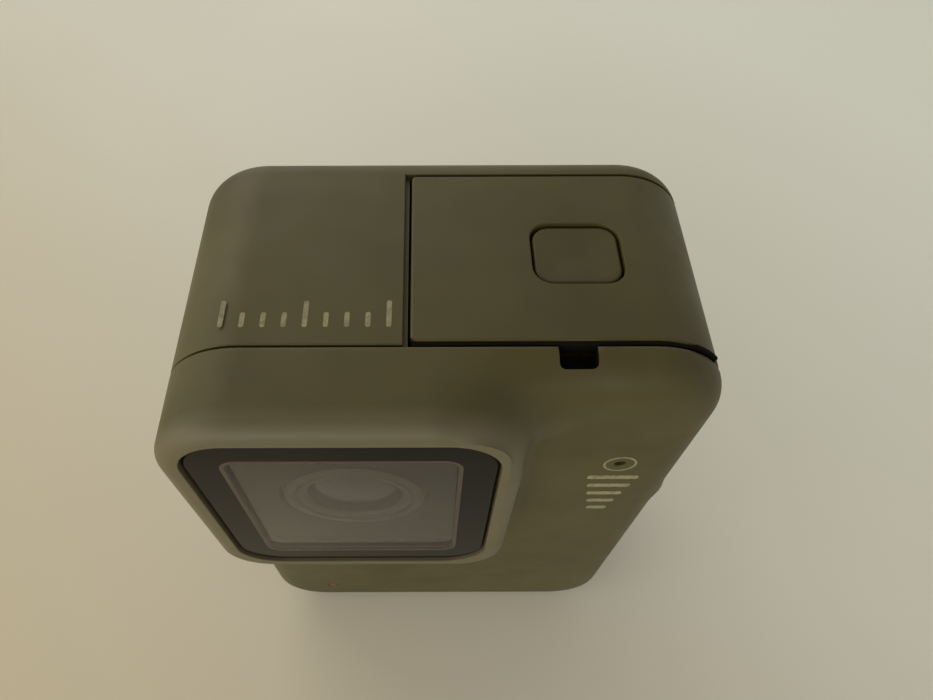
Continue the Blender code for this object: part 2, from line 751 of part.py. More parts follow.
def card_socket():
    low, high, radius = slot_box()
    socket = slab("card_socket", low, high, radius, (SLOT_BOTTOM, PORT_TOP), facing_top, steel(), steps=1)
    slot = outline(*grown(*card_box(), SLIM), 0.2 * MM, 1)
    cut(socket, "card_slot", [prism(slot, (SLOT_BOTTOM + 0.4 * MM, PORT_TOP + WALL))], facing_top)
    return socket


def memory_card():
    edge = 0.3 * MM
    low, high = card_box()
    shape = outline(low, high, edge, 1)
    rings = [(shape, CARD_TOP - CARD_LONG), (shape, CARD_TOP)]
    return body("memory_card", rings, facing_top, black_plastic())


def port_board():
    low = (PORT_X - BOARD_MARGIN, PORT_BOTTOM)
    high = (PORT_X + SLOT_WIDE + BOARD_MARGIN, SEAT_Z - SEAT_WALL - FIT)
    return slab("port_board", low, high, 0.6 * MM, (PORT_BOARD_Y, PORT_BOARD_Y + BOARD_T), facing_front,
                circuit_board(), steps=1)


# The side door and what moves with it


def door_band(inset_out, inset_in, left, bottom):
    return corner_path(inset_out, left, bottom) + corner_path(inset_in, left, bottom)[::-1]


def side_door():
    origin = (HINGE_X, HINGE_Y, HINGE_Z)
    band = door_band(0, DOOR_SKIN, DOOR_LEFT, HINGE_Z)
    door = body("side_door", prism(band, (DOOR_FRONT, DOOR_BACK)), facing_front, case_paint(), origin)
    knuckle = circle((HINGE_X, HINGE_Z), KNUCKLE_R, 16)
    join(door, "door_knuckle", [prism(knuckle, (DOOR_FRONT + SLIM, DOOR_BACK - SLIM))], facing_front)
    door_rim(door)
    gap_low = (HINGE_X - 2 * KNUCKLE_R, HINGE_Z - 2 * KNUCKLE_R)
    gap = outline(gap_low, (HINGE_X + 3 * KNUCKLE_R, HINGE_Z + KNUCKLE_R), 0.3 * MM, 1)
    half = ARM_WIDE / 2 + FIT
    cut(door, "arm_gap", [prism(gap, (HINGE_Y - half, HINGE_Y + half))], facing_front)
    bore = circle((HINGE_X, HINGE_Z), PIN_R + PIN_PLAY, FINE)
    bore_half = PIN_LONG / 2 + 2.4 * MM
    cut(door, "pin_bore", [prism(bore, (HINGE_Y - bore_half, HINGE_Y + bore_half))], facing_front)
    hole = stadium((LATCH_CX, LATCH_CY), LATCH_WIDE, LATCH_LONG, FIT, LATCH_R)
    lip = stadium((LATCH_CX, LATCH_CY), LATCH_WIDE, LATCH_LONG, 2 * FIT, LATCH_R)
    cut(door, "latch_hole", [[(hole, TOP - 2 * DOOR_SKIN), (hole, TOP - FIT), (lip, TOP), (lip, TOP + WALL)]],
        facing_top)
    return door


def liner_right():
    return SEAT_X - 0.6 * MM


def door_rim(door):
    """Walls under the door's skin along its free edge and both ends."""
    bottom = SEAT_Z + RIM_LIFT
    top = TOP - DOOR_SKIN / 2
    right = liner_right()
    walls = [((DOOR_LEFT, DOOR_FRONT), (DOOR_LEFT + DOOR_RIM, DOOR_BACK)),
             ((DOOR_LEFT, DOOR_FRONT), (right, DOOR_FRONT + DOOR_RIM)),
             ((DOOR_LEFT, DOOR_BACK - DOOR_RIM), (right, DOOR_BACK))]
    for number, (low, high) in enumerate(walls):
        join(door, f"rim_{number}", [prism(outline(low, high, 0.1 * MM, 1), (bottom, top))], facing_top)


def liner_box():
    low = (DOOR_LEFT + LINER_INSET, DOOR_FRONT + LINER_INSET)
    return low, (liner_right(), DOOR_BACK - LINER_INSET)


def door_liner():
    levels = (SEAT_Z + LINER_LIFT, SEAT_Z + LINER_LIFT + LINER_T)
    return slab("door_liner", *liner_box(), 0.5 * MM, levels, facing_top, black_plastic(),
                (HINGE_X, HINGE_Y, HINGE_Z), steps=2)


def door_seal():
    edge = 0.9 * MM
    outer = outline(*grown(*liner_box(), -edge), 1.5 * MM)
    inner = outline(*grown(*liner_box(), -edge - DOOR_SEAL_WIDE), 0.8 * MM)
    low = SEAT_Z + FIT
    high = low + DOOR_SEAL_T
    rings = [(outer, low), (outer, high), (inner, high), (inner, low)]
    return body("door_seal", rings, facing_top, black_rubber(), (HINGE_X, HINGE_Y, HINGE_Z), hollow=True)


def door_gasket():
    """The rubber strip along the door's front edge, with a small lip that stands up at the corner."""
    centre = (RIGHT - CORNER_R, TOP - CORNER_R)
    sunk = CORNER_R - SLIM
    outer = [(DOOR_LEFT + SLIM, TOP - SLIM)] + arc_points(centre, sunk, 90, 64, 2)
    outer += arc_points(centre, CORNER_R + GASKET_LIP, 62, 40, SMALL_ARC)
    outer += arc_points(centre, sunk, 38, 0, SMALL_ARC)
    outer.append((RIGHT - SLIM, HINGE_Z + KNUCKLE_R))
    inner = corner_path(DOOR_SKIN, DOOR_LEFT + SLIM, HINGE_Z + KNUCKLE_R)[::-1]
    front = SEAM_Y + SLIM / 2
    return body("door_gasket", prism(outer + inner, (front, front + GASKET_T)), facing_front, black_rubber(),
                (HINGE_X, HINGE_Y, HINGE_Z))


def latch_button():
    def shape(extra):
        return stadium((LATCH_CX, LATCH_CY), LATCH_WIDE, LATCH_LONG, extra, LATCH_R)

    top = TOP - LATCH_SUNK
    flange_top = TOP - DOOR_SKIN - FLANGE_PLAY
    rings = [(shape(-BUTTON_EDGE), top), (shape(0), top - BUTTON_EDGE), (shape(0), flange_top),
             (shape(FLANGE), flange_top), (shape(FLANGE), flange_top - FLANGE_T)]
    return body("latch_button", rings, facing_top, case_paint(), (LATCH_CX, LATCH_CY, top))


def latch_spring():
    """A flat leaf between the latch's flange and the liner."""
    level = TOP - DOOR_SKIN - FLANGE_PLAY - FLANGE_T - LATCH_TRAVEL - PIN_PLAY
    half = (LATCH_WIDE / 2 + FLANGE, LEAF_HALF)
    low = (LATCH_CX - half[0], LATCH_CY - half[1])
    high = (LATCH_CX + half[0], LATCH_CY + half[1])
    return slab("latch_spring", low, high, 0.5 * MM, (level - LEAF_T, level), facing_top, steel(),
                (HINGE_X, HINGE_Y, HINGE_Z), steps=2)


def hinge_arm():
    """The sliding arm: a knuckle round the pin, and a tongue with a stop that runs in the case."""
    low = (ARM_END, HINGE_Z - KNUCKLE_R)
    top = HINGE_Z - ARM_FLAT
    half = ARM_WIDE / 2
    stop_half = half + STOP_REACH
    knuckle = circle((HINGE_X, HINGE_Z), KNUCKLE_R * KNUCKLE_PLAY, 16)
    arm = body("hinge_arm", prism(knuckle, (HINGE_Y - half, HINGE_Y + half)), facing_front, steel(),
               (HINGE_X, HINGE_Y, HINGE_Z))
    tongue = outline(low, (HINGE_X - PIN_R, top), 0.1 * MM, 1)
    join(arm, "arm_tongue", [prism(tongue, (HINGE_Y - half, HINGE_Y + half))], facing_front)
    stop = outline(low, (ARM_END + ARM_STOP, top), 0.1 * MM, 1)
    join(arm, "arm_stop", [prism(stop, (HINGE_Y - stop_half, HINGE_Y + stop_half))], facing_front)
    bore = circle((HINGE_X, HINGE_Z), PIN_R + PIN_PLAY, FINE)
    cut(arm, "arm_bore", [prism(bore, (HINGE_Y - ARM_WIDE, HINGE_Y + ARM_WIDE))], facing_front)
    return arm


def hinge_pin():
    half = PIN_LONG / 2
    rod = circle((HINGE_X, HINGE_Z), PIN_R, FINE)
    return body("hinge_pin", prism(rod, (HINGE_Y - half, HINGE_Y + half)), facing_front, steel(),
                (HINGE_X, HINGE_Y, HINGE_Z))


# Buttons


def pressed_piece(name, shape, face, inward, place, origin):
    """A button: a rounded cap, a flange behind the wall and a stem. Levels run inwards from the face."""
    flange = WALL + 2 * SLIM + FIT
    stem_end = flange + STEM_LONG

    def level(depth):
        return face + inward * depth

    stem = shape(None)
    rings = [(shape(-BUTTON_EDGE), level(BUTTON_SUNK)), (shape(0), level(BUTTON_SUNK + BUTTON_EDGE)),
             (shape(0), level(flange)), (shape(FLANGE), level(flange)),
             (shape(FLANGE), level(flange + FLANGE_T)), (stem, level(flange + FLANGE_T)),
             (stem, level(stem_end))]
    return body(name, rings, place, case_paint(), origin)


def button_shape(centre, wide, tall):
    def shape(extra):
        if extra is None:
            return stadium(centre, 2 * STEM_R, 2 * STEM_R)
        return stadium(centre, wide, tall, extra)

    return shape


def button_seal(name, shape, face, inward, place):
    near = face + inward * (WALL + SLIM)
    far = near + inward * FIT
    rings = [(shape(FLANGE), near), (shape(FLANGE), far), (shape(FIT), far), (shape(FIT), near)]
    return body(name, rings, place, black_rubber(), hollow=True)


def button_switch(name, centre, face, inward, travel, place):
    """A tact switch whose dome meets the stem at the end of its travel."""
    top = WALL + 2 * SLIM + FIT + STEM_LONG + travel + PIN_PLAY
    half = SWITCH_HALF
    low = (centre[0] - half, centre[1] - half)
    high = (centre[0] + half, centre[1] + half)
    dome = stadium(centre, 2 * STEM_R, 2 * STEM_R)
    base = stadium(centre, 2 * half, 2 * half, 0, 0.4 * MM)
    rings = [(dome, face + inward * top), (dome, face + inward * (top + DOME_T)),
             (base, face + inward * (top + DOME_T)), (base, face + inward * (top + SWITCH_T))]
    return body(name, rings, place, steel())


def shutter_set():
    centre = (SHUTTER_Y, SHUTTER_Z)
    shape = button_shape(centre, SHUTTER_WIDE, SHUTTER_LONG)
    origin = (LEFT + BUTTON_SUNK, *centre)
    pressed_piece("shutter_button", shape, LEFT, 1, facing_side, origin)
    button_seal("shutter_seal", shape, LEFT, 1, facing_side)
    button_switch("shutter_switch", centre, LEFT, 1, SHUTTER_TRAVEL, facing_side)


def mode_set():
    centre = (MODE_X, SHUTTER_Y)
    shape = button_shape(centre, MODE_LONG, MODE_WIDE)
    pressed_piece("mode_button", shape, 0.0, 1, facing_top, (*centre, BUTTON_SUNK))
    button_seal("mode_seal", shape, 0.0, 1, facing_top)
    button_switch("mode_switch", centre, 0.0, 1, MODE_TRAVEL, facing_top)


# The screen


def screen():
    low, high = screen_box()
    edge = 0.2 * MM
    rings = [(outline(*grown(low, high, -edge), SCREEN_R - edge, ARC), SCREEN_FRONT),
             (outline(low, high, SCREEN_R, ARC), SCREEN_FRONT - edge),
             (outline(low, high, SCREEN_R, ARC), SCREEN_FRONT - SCREEN_T)]
    body("touch_glass", rings, facing_front, clear_glass())
    slab("lcd_panel", *lcd_box(), 0.3 * MM, (LCD_BACK - LCD_T, LCD_BACK), facing_front,
         finish("lcd", (0.01, 0.012, 0.016), 0.2), steps=1)
    backlight_back = LCD_BACK - LCD_T - SLIM
    levels = (backlight_back - BACKLIGHT_T, backlight_back)
    slab("display_backlight", *lcd_box(), 0.3 * MM, levels, facing_front,
         finish("backlight", (0.7, 0.7, 0.7), 0.5), steps=1)


# Boards, battery and frame


def board_box():
    return (LEFT + SIDE_ROOM, BATTERY_Z), (RIGHT - SIDE_ROOM, BOARD_TOP)


def battery():
    front = BATTERY_BACK - BATTERY_T
    low = (LEFT + SIDE_ROOM, BATTERY_Z)
    high = (RIGHT - SIDE_ROOM, BATTERY_TOP)
    edge = 0.4 * MM
    radius = 1.2 * MM
    side = outline(low, high, radius)
    face = outline(*grown(low, high, -edge), radius - edge)
    rings = [(face, front), (side, front + edge), (side, BATTERY_BACK - edge), (face, BATTERY_BACK)]
    return body("battery", rings, facing_front, finish("battery_wrap", (0.35, 0.35, 0.37), 0.4))


def board_screw_places():
    low, high = board_box()
    inset = 2.4 * MM
    return [(low[0] + inset, low[1] + inset), (high[0] - inset, high[1] - inset)]


def main_board():
    levels = (BOARD_Y, BOARD_Y + BOARD_T)
    board = slab("main_board", *board_box(), 0.8 * MM, levels, facing_front, circuit_board(), steps=1)
    holes = [prism(circle(place, SCREW_R + PIN_PLAY, FINE), (BOARD_Y - WALL, BOARD_Y + BOARD_T + WALL))
             for place in board_screw_places()]
    cut(board, "board_holes", holes, facing_front)
    low, high = board_box()
    middle = ((low[0] + high[0]) / 2, (low[1] + high[1]) / 2)
    half = 6.5 * MM
    front = BOARD_Y + BOARD_T + PIN_PLAY
    back = front + 1.1 * MM
    slab("processor", *grown(middle, middle, half), 0.3 * MM, (front, back), facing_front,
         black_plastic(), steps=1)
    levels = (back + SLIM, back + SLIM + 0.5 * MM)
    slab("heat_spreader", *grown(middle, middle, half + 2.5 * MM), 0.8 * MM, levels, facing_front,
         finish("aluminium", (0.6, 0.6, 0.62), 0.35, 1.0), steps=1)


def chassis():
    """The frame behind the main board that ties the front shell's posts together."""
    gap = WALL + FIT
    low = (LEFT + gap, gap)
    high = (RIGHT - gap, CHASSIS_TOP)
    frame = slab("chassis", low, high, CORNER_R - gap, (CHASSIS_Y, CHASSIS_Y + CHASSIS_T), facing_front,
                 finish("magnesium", (0.3, 0.3, 0.31), 0.45, 1.0))
    window = outline((low[0] + 2 * CHASSIS_RAIL, low[1] + 2 * CHASSIS_RAIL),
                     (high[0] - 2 * CHASSIS_RAIL, high[1] - CHASSIS_RAIL), 2.0 * MM)
    cut(frame, "chassis_window", [prism(window, (CHASSIS_Y - WALL, CHASSIS_Y + 2 * CHASSIS_T))], facing_front)
    posts = [prism(circle(place, BOSS_R, FINE), (BOARD_Y + BOARD_T + FIT, CHASSIS_Y + CHASSIS_T / 2))
             for place in board_screw_places()]
    join(frame, "chassis_posts", posts, facing_front)
    span = (BOARD_Y, CHASSIS_Y + 2 * CHASSIS_T)
    places = boss_places() + board_screw_places()
    holes = [prism(circle(place, SCREW_R + PIN_PLAY, FINE), span) for place in places]
    cut(frame, "chassis_holes", holes, facing_front)
    return frame


def screw(name, place, head_back, length, towards):
    """A pan-head screw along Y; towards is the way its shank points."""
    head_front = head_back + towards * SCREW_HEAD_T
    head = circle(place, SCREW_HEAD_R, FINE)
    edge = circle(place, SCREW_HEAD_R * 0.75, FINE)
    shank = circle(place, SCREW_R, FINE)
    tip = circle(place, SCREW_R * 0.6, FINE)
    rings = [(edge, head_back), (head, head_back + towards * SCREW_HEAD_T / 2), (head, head_front),
             (shank, head_front), (shank, head_front + towards * (length - SCREW_R)),
             (tip, head_front + towards * length)]
    return body(name, rings, facing_front, steel())


def screws():
    head = CHASSIS_Y + CHASSIS_T + 0.1 * MM + SCREW_HEAD_T
    for number, place in enumerate(boss_places(), 1):
        screw(f"case_screw_{number}", place, head, SCREW_LONG + CHASSIS_T - 0.4 * MM, -1)
    lens_head = HOLDER_BACK + SLIM + BOARD_T + 0.1 * MM + SCREW_HEAD_T
    for number, place in enumerate(lens_screw_places(), 1):
        screw(f"lens_screw_{number}", place, lens_head, BOARD_T + 1.8 * MM, -1)
    board_head = BOARD_Y - 0.1 * MM - SCREW_HEAD_T
    for number, place in enumerate(board_screw_places(), 1):
        screw(f"board_screw_{number}", place, board_head, BOARD_T + 2.6 * MM, 1)


def sound_and_light():
    front = FACE_Y + WALL + SLIM
    levels = (front, front + 1.0 * MM)
    slab("front_microphone", *grown(MIC_AT, MIC_AT, 1.5 * MM), 0.3 * MM, levels, facing_front,
         steel(), steps=1)
    pipe = circle(LIGHT_AT, LIGHT_R, FINE)
    foot = circle(LIGHT_AT, LIGHT_R * 2, FINE)
    rings = [(pipe, FACE_Y + 0.05 * MM), (pipe, front), (foot, front), (foot, front + 0.6 * MM)]
    body("status_light", rings, facing_front, finish("light_pipe", (0.5, 0.08, 0.05), 0.3))
    speaker_set()
    slab("antenna", (-ANTENNA_HALF, BATTERY_TOP), (ANTENNA_HALF, LENS_CZ + ANTENNA_RISE),
         0.8 * MM, (LEFT + WALL + FIT, LEFT + WALL + FIT + 0.15 * MM), facing_side,
         finish("flex_copper", (0.5, 0.22, 0.05), 0.4), steps=1)


def speaker_set():
    centre = (SHUTTER_Y, SHUTTER_Z)
    plate = prism(stadium(centre, GRILLE_WIDE, GRILLE_LONG), (RIGHT - 1.2 * MM, RIGHT - 0.1 * MM))
    grille = body("speaker_grille", plate, facing_side, black_plastic())
    slots = []
    for row in range(-2, 3):
        middle = (centre[0], centre[1] + row * 1.9 * MM)
        slots.append(prism(stadium(middle, GRILLE_WIDE * 0.6, 0.8 * MM), (RIGHT - 2 * WALL, RIGHT + WALL)))
    cut(grille, "grille_slots", slots, facing_side)
    back = RIGHT - WALL - FIT
    body("speaker", prism(stadium(centre, GRILLE_WIDE, GRILLE_LONG, SPEAKER_EDGE), (back - 2.6 * MM, back)),
         facing_side, black_plastic())


def clear_scene():
    for found in list(bpy.data.objects):
        bpy.data.objects.remove(found)


def main():
    clear_scene()
    front_shell()
    main_shell()
    cover_glass()
    cover_seal()
    lens_mask()
    lens_barrel()
    retaining_ring()
    lens_elements()
    lens_holder()
    sensor_stack()
    sensor_flex()
    usb_socket()
    card_socket()
    memory_card()
    port_board()
    side_door()
    door_liner()
    door_seal()
    door_gasket()
    latch_button()
    latch_spring()
    hinge_arm()
    hinge_pin()
    shutter_set()
    mode_set()
    screen()
    battery()
    main_board()
    chassis()
    screws()
    sound_and_light()


main()
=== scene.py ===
import math

import bmesh
import bpy
import numpy as np
from mathutils import Euler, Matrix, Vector


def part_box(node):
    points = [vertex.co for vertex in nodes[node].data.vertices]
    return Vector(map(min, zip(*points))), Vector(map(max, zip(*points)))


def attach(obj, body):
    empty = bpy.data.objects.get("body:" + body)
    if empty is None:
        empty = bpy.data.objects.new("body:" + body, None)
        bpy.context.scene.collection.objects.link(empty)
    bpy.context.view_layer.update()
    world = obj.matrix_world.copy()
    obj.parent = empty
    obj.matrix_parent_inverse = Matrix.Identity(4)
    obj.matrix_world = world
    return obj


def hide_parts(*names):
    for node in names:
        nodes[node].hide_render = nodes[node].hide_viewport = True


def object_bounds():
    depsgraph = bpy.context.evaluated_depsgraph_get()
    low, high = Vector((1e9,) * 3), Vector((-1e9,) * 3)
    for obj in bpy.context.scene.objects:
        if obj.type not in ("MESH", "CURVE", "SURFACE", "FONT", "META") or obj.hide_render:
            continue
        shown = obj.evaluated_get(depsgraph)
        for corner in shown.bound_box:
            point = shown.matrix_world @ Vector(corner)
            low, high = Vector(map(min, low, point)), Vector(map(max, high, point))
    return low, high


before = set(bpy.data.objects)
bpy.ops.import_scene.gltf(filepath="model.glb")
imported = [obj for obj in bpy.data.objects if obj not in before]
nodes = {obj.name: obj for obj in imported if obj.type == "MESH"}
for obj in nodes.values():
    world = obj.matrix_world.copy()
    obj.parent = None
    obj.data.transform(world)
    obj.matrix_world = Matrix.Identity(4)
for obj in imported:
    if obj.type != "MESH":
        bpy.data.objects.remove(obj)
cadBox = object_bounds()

mm = 0.001
print("frame loaded:", len(nodes), "nodes")


# sizes the pieces share, read off the frame
low, high = cadBox
left, right, top = low[0], high[0], high[2]
ringY, backY = low[1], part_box("main_shell")[1].y
case = {
    "cornerR": 6.8 * mm,
    "frontRound": 3.0 * mm,
    "backRound": 2.5 * mm,
    "faceY": ringY + 4.24 * mm,  # the flat front face lies this far behind the lens ring
    "frontDeep": 3.2 * mm,  # from that face back to the seam between the shells
    "seam": 0.2 * mm,
    "seamRoll": 0.12 * mm,
    "wall": 1.6 * mm,
    "well": 4.6 * mm,
    "seatWall": 1.5 * mm,
    "clear": 5.0 * mm,  # how far an open-ended cut runs past the case
    # the hollow's front edge, as steps in from the wall and back from the face
    "hollowEdge": ((1.2 * mm, 0.0), (0.3 * mm, 0.5 * mm), (0.0, 1.4 * mm)),
}
seamY = case["faceY"] + case["frontDeep"]


def flatFront(u, v, level):
    return Vector((u, level, v))


def flatTop(u, v, level):
    return Vector((u, v, level))


def flatSide(u, v, level):
    return Vector((level, u, v))


def roundedLoop(lowCorner, highCorner, radius, steps=10):
    # radius is one number, or four that start at the (+, +) corner and go round anticlockwise
    radii = radius if isinstance(radius, tuple) else (radius,) * 4
    points = []
    for number, (su, sv) in enumerate(((1, 1), (-1, 1), (-1, -1), (1, -1))):
        r = max(radii[number], 0.01 * mm)
        cu = highCorner[0] - r if su > 0 else lowCorner[0] + r
        cv = highCorner[1] - r if sv > 0 else lowCorner[1] + r
        for step in range(steps + 1):
            angle = math.radians(90 * (number + step / steps))
            points.append((cu + r * math.cos(angle), cv + r * math.sin(angle)))
    return points


def roundLoop(centre, radius, steps=72):
    angles = [2 * math.pi * step / steps for step in range(steps)]
    return [(centre[0] + radius * math.cos(a), centre[1] + radius * math.sin(a)) for a in angles]


def pillLoop(centre, wide, tall, extra=0.0, radius=None, steps=12):
    half = (wide / 2 + extra, tall / 2 + extra)
    # a whisker under half the width, so that no two points of a round end meet
    r = min(half) * 0.98 if radius is None else max(radius + extra, 0.05 * mm)
    return roundedLoop((centre[0] - half[0], centre[1] - half[1]),
                       (centre[0] + half[0], centre[1] + half[1]), r, steps)


def arcLoop(centre, radius, start, stop, steps):
    angles = [math.radians(start + (stop - start) * step / steps) for step in range(steps + 1)]
    return [(centre[0] + radius * math.cos(a), centre[1] + radius * math.sin(a)) for a in angles]


def grow(box, by):
    return (box[0][0] - by, box[0][1] - by), (box[1][0] + by, box[1][1] + by)


def loft(bm, loops, place, ring=False):
    # joins loops with equal numbers of points, each at its own level, into one closed skin
    rows = [[bm.verts.new(place(u, v, level)) for u, v in points] for points, level in loops]
    pairs = list(zip(rows, rows[1:]))
    if ring:
        pairs.append((rows[-1], rows[0]))
    else:
        bm.faces.new(rows[0])
        bm.faces.new(rows[-1])
    for near, far in pairs:
        for i, here in enumerate(near):
            j = (i + 1) % len(near)
            bm.faces.new((here, near[j], far[j], far[i]))


def rolledLevels(shape, start, stop, rollStart, rollStop, steps=4):
    # loops from one level to another with a rounded edge at each end; shape(inset) gives a loop
    towards = 1 if stop > start else -1
    loops = []
    for r, level, way in ((rollStart, start, towards), (rollStop, stop, -towards)):
        part = []
        for step in range(steps + 1):
            angle = math.radians(90 * step / steps)
            part.append((shape(r * (1 - math.sin(angle))), level + way * r * (1 - math.cos(angle))))
            if r == 0:
                break
        loops += part if way == towards else part[::-1]
    return loops


def meshPiece(name, bm, material, sharp=34):
    bmesh.ops.recalc_face_normals(bm, faces=bm.faces)
    mesh = bpy.data.meshes.new(name)
    bm.to_mesh(mesh)
    bm.free()
    piece = bpy.data.objects.new(name, mesh)
    bpy.context.scene.collection.objects.link(piece)
    if material:
        mesh.materials.append(material)
    smoothFaces(piece, sharp)
    return piece


def smoothFaces(piece, sharp=34):
    piece.data.shade_smooth()
    piece.data.set_sharp_from_angle(angle=math.radians(sharp))


def evenNormals(piece):
    # large flat faces keep their own normal and the narrow rolled edges bend to meet them
    weighted = piece.modifiers.new("evenNormals", "WEIGHTED_NORMAL")
    weighted.keep_sharp = True
    weighted.weight = 90
    return piece


def loftPiece(name, loops, place, material, ring=False, sharp=34):
    bm = bmesh.new()
    loft(bm, loops, place, ring)
    return evenNormals(meshPiece(name, bm, material, sharp))


def toolMesh(loopSets, place):
    bm = bmesh.new()
    for loops in loopSets:
        loft(bm, loops, place)
    return meshPiece("tool", bm, None)


def shapeWith(piece, tool, operation="DIFFERENCE"):
    # carves or joins one piece with another, and applies it at once
    change = piece.modifiers.new("shape", "BOOLEAN")
    change.object = tool
    change.operation = operation
    change.solver = "EXACT"
    piece.modifiers.move(len(piece.modifiers) - 1, 0)
    kept = [m for m in piece.modifiers if m != change]
    for m in kept:
        m.show_viewport = False
    bpy.context.view_layer.update()
    graph = bpy.context.evaluated_depsgraph_get()
    mesh = bpy.data.meshes.new_from_object(piece.evaluated_get(graph))
    piece.modifiers.remove(change)
    piece.data = mesh
    for m in kept:
        m.show_viewport = True
    bpy.data.objects.remove(tool)
    smoothFaces(piece)


def carve(piece, loopSets, place):
    shapeWith(piece, toolMesh(loopSets, place))


def fuse(piece, loopSets, place):
    shapeWith(piece, toolMesh(loopSets, place), "UNION")


def mouth(shape, face, inward, deep, lip):
    # a hole with a small rounded lip where it meets the outside face
    return [(shape(2 * lip), face - inward * lip), (shape(lip), face),
            (shape(0.3 * lip), face + inward * 0.35 * lip), (shape(0), face + inward * lip),
            (shape(0), face + inward * deep)]


def linearColour(hexCode, alpha=1.0):
    parts = [int(hexCode[i:i + 2], 16) / 255 for i in (1, 3, 5)]
    return tuple(p / 12.92 if p <= 0.04045 else ((p + 0.055) / 1.055) ** 2.4 for p in parts) + (alpha,)


def addNode(material, kind, settings=None, links=None):
    # settings are sockets or properties by name; links are {input name: (node, output name)}
    node = material.node_tree.nodes.new(kind)
    for key, value in (settings or {}).items():
        if isinstance(key, int) or key in node.inputs:
            node.inputs[key].default_value = value
        else:
            setattr(node, key, value)
    for key, (source, output) in (links or {}).items():
        material.node_tree.links.new(source.outputs[output], node.inputs[key])
    return node


def newMaterial(name, base, roughness, metallic=0.0, **sockets):
    material = bpy.data.materials.new(name)
    material.use_nodes = True
    shader = material.node_tree.nodes["Principled BSDF"]
    shader.inputs["Base Color"].default_value = linearColour(base)
    shader.inputs["Roughness"].default_value = roughness
    shader.inputs["Metallic"].default_value = metallic
    for key, value in sockets.items():
        shader.inputs[key].default_value = value
    return material, shader


def link(material, source, output, shader, key):
    material.node_tree.links.new(source.outputs[output], shader.inputs[key])


def colourRamp(material, source, output, stops):
    # stops are (position, hex colour) pairs
    ramp = addNode(material, "ShaderNodeValToRGB", None, {"Fac": (source, output)})
    while len(ramp.color_ramp.elements) < len(stops):
        ramp.color_ramp.elements.new(0.5)
    for element, (position, shade) in zip(ramp.color_ramp.elements, stops):
        element.position = position
        element.color = linearColour(shade)
    return ramp


def grainedSurface(material, shader, colours, roughs, grain):
    # broad colour drift, smudged gloss and a fine moulded grain; sizes in grain are real millimetres
    where = addNode(material, "ShaderNodeTexCoord")
    drift = addNode(material, "ShaderNodeTexNoise",
                    {"Scale": 1 / (grain["drift"] * mm), "Detail": 3.0, "Roughness": 0.55},
                    {"Vector": (where, "Object")})
    shade = colourRamp(material, drift, "Fac", [(0.3, colours[0]), (0.5, colours[1]), (0.72, colours[2])])
    link(material, shade, "Color", shader, "Base Color")
    smudge = addNode(material, "ShaderNodeTexNoise",
                     {"Scale": 1 / (grain["smudge"] * mm), "Detail": 4.0, "Distortion": 0.4},
                     {"Vector": (where, "Object")})
    gloss = addNode(material, "ShaderNodeMapRange",
                    {"From Min": 0.3, "From Max": 0.7, "To Min": roughs[0], "To Max": roughs[1]},
                    {"Value": (smudge, "Fac")})
    link(material, gloss, "Result", shader, "Roughness")
    pits = addNode(material, "ShaderNodeTexNoise",
                   {"Scale": 1 / (grain["pit"] * mm), "Detail": 2.0, "Roughness": 0.6},
                   {"Vector": (where, "Object")})
    bump = addNode(material, "ShaderNodeBump",
                   {"Strength": grain["strength"], "Distance": grain["depth"] * mm},
                   {"Height": (pits, "Fac")})
    link(material, bump, "Normal", shader, "Normal")
    return where, shade, bump


# soft-touch coating sprayed on moulded polycarbonate: an even khaki that scatters light widely, a little
# darker where fingers have rubbed, with the faint grain of the tool's spark finish
def softTouchCoat():
    look = {"colours": ("#423d1a", "#4a4520", "#504b27"), "roughs": (0.46, 0.58)}
    grain = {"drift": 14.0, "smudge": 6.0, "pit": 0.22, "strength": 0.16, "depth": 0.03}
    material, shader = newMaterial("softTouchPolycarbonate", "#4c4721", 0.52, **{"IOR": 1.52})
    where, shade, bump = grainedSurface(material, shader, look["colours"], look["roughs"], grain)
    # dust specks, 0.1 mm across, far apart
    specks = addNode(material, "ShaderNodeTexVoronoi", {"Scale": 1 / (7.0 * mm), "Randomness": 1.0},
                     {"Vector": (where, "Object")})
    dot = addNode(material, "ShaderNodeMapRange",
                  {"From Min": 0.014, "From Max": 0.02, "To Min": 1.0, "To Max": 0.0},
                  {"Value": (specks, "Distance")})
    mixed = addNode(material, "ShaderNodeMix", {"data_type": "RGBA"}, {0: (dot, "Result")})
    mixed.inputs[7].default_value = linearColour("#8a8570")
    material.node_tree.links.new(shade.outputs["Color"], mixed.inputs[6])
    # the ring round the lens, which stands proudest, is painted paler: partly painted highlight for the light
    # its forward-facing faces catch, partly wear from handling
    parts = addNode(material, "ShaderNodeSeparateXYZ", None, {"Vector": (where, "Object")})
    ringHighlightAndWear = addNode(material, "ShaderNodeMapRange",
                  {"From Min": ringY + 2.4 * mm, "From Max": ringY + 0.7 * mm, "To Min": 0.0, "To Max": 0.6},
                  {"Value": (parts, "Y")})
    ringHighlightAndWearMix = addNode(material, "ShaderNodeMix", {"data_type": "RGBA"}, {0: (ringHighlightAndWear, "Result")})
    ringHighlightAndWearMix.inputs[7].default_value = linearColour("#6f6a56")
    material.node_tree.links.new(mixed.outputs[2], ringHighlightAndWearMix.inputs[6])
    material.node_tree.links.new(ringHighlightAndWearMix.outputs[2], shader.inputs["Base Color"])
    return material


# glass-filled nylon for the lens parts: near black, dry, with a coarse sparkle-free grain
def blackNylon():
    material, shader = newMaterial("glassFilledNylon", "#171718", 0.55, **{"IOR": 1.53})
    grainedSurface(material, shader, ("#131314", "#171718", "#1c1c1d"), (0.48, 0.62),
                   {"drift": 5.0, "smudge": 2.5, "pit": 0.16, "strength": 0.25, "depth": 0.02})
    return material


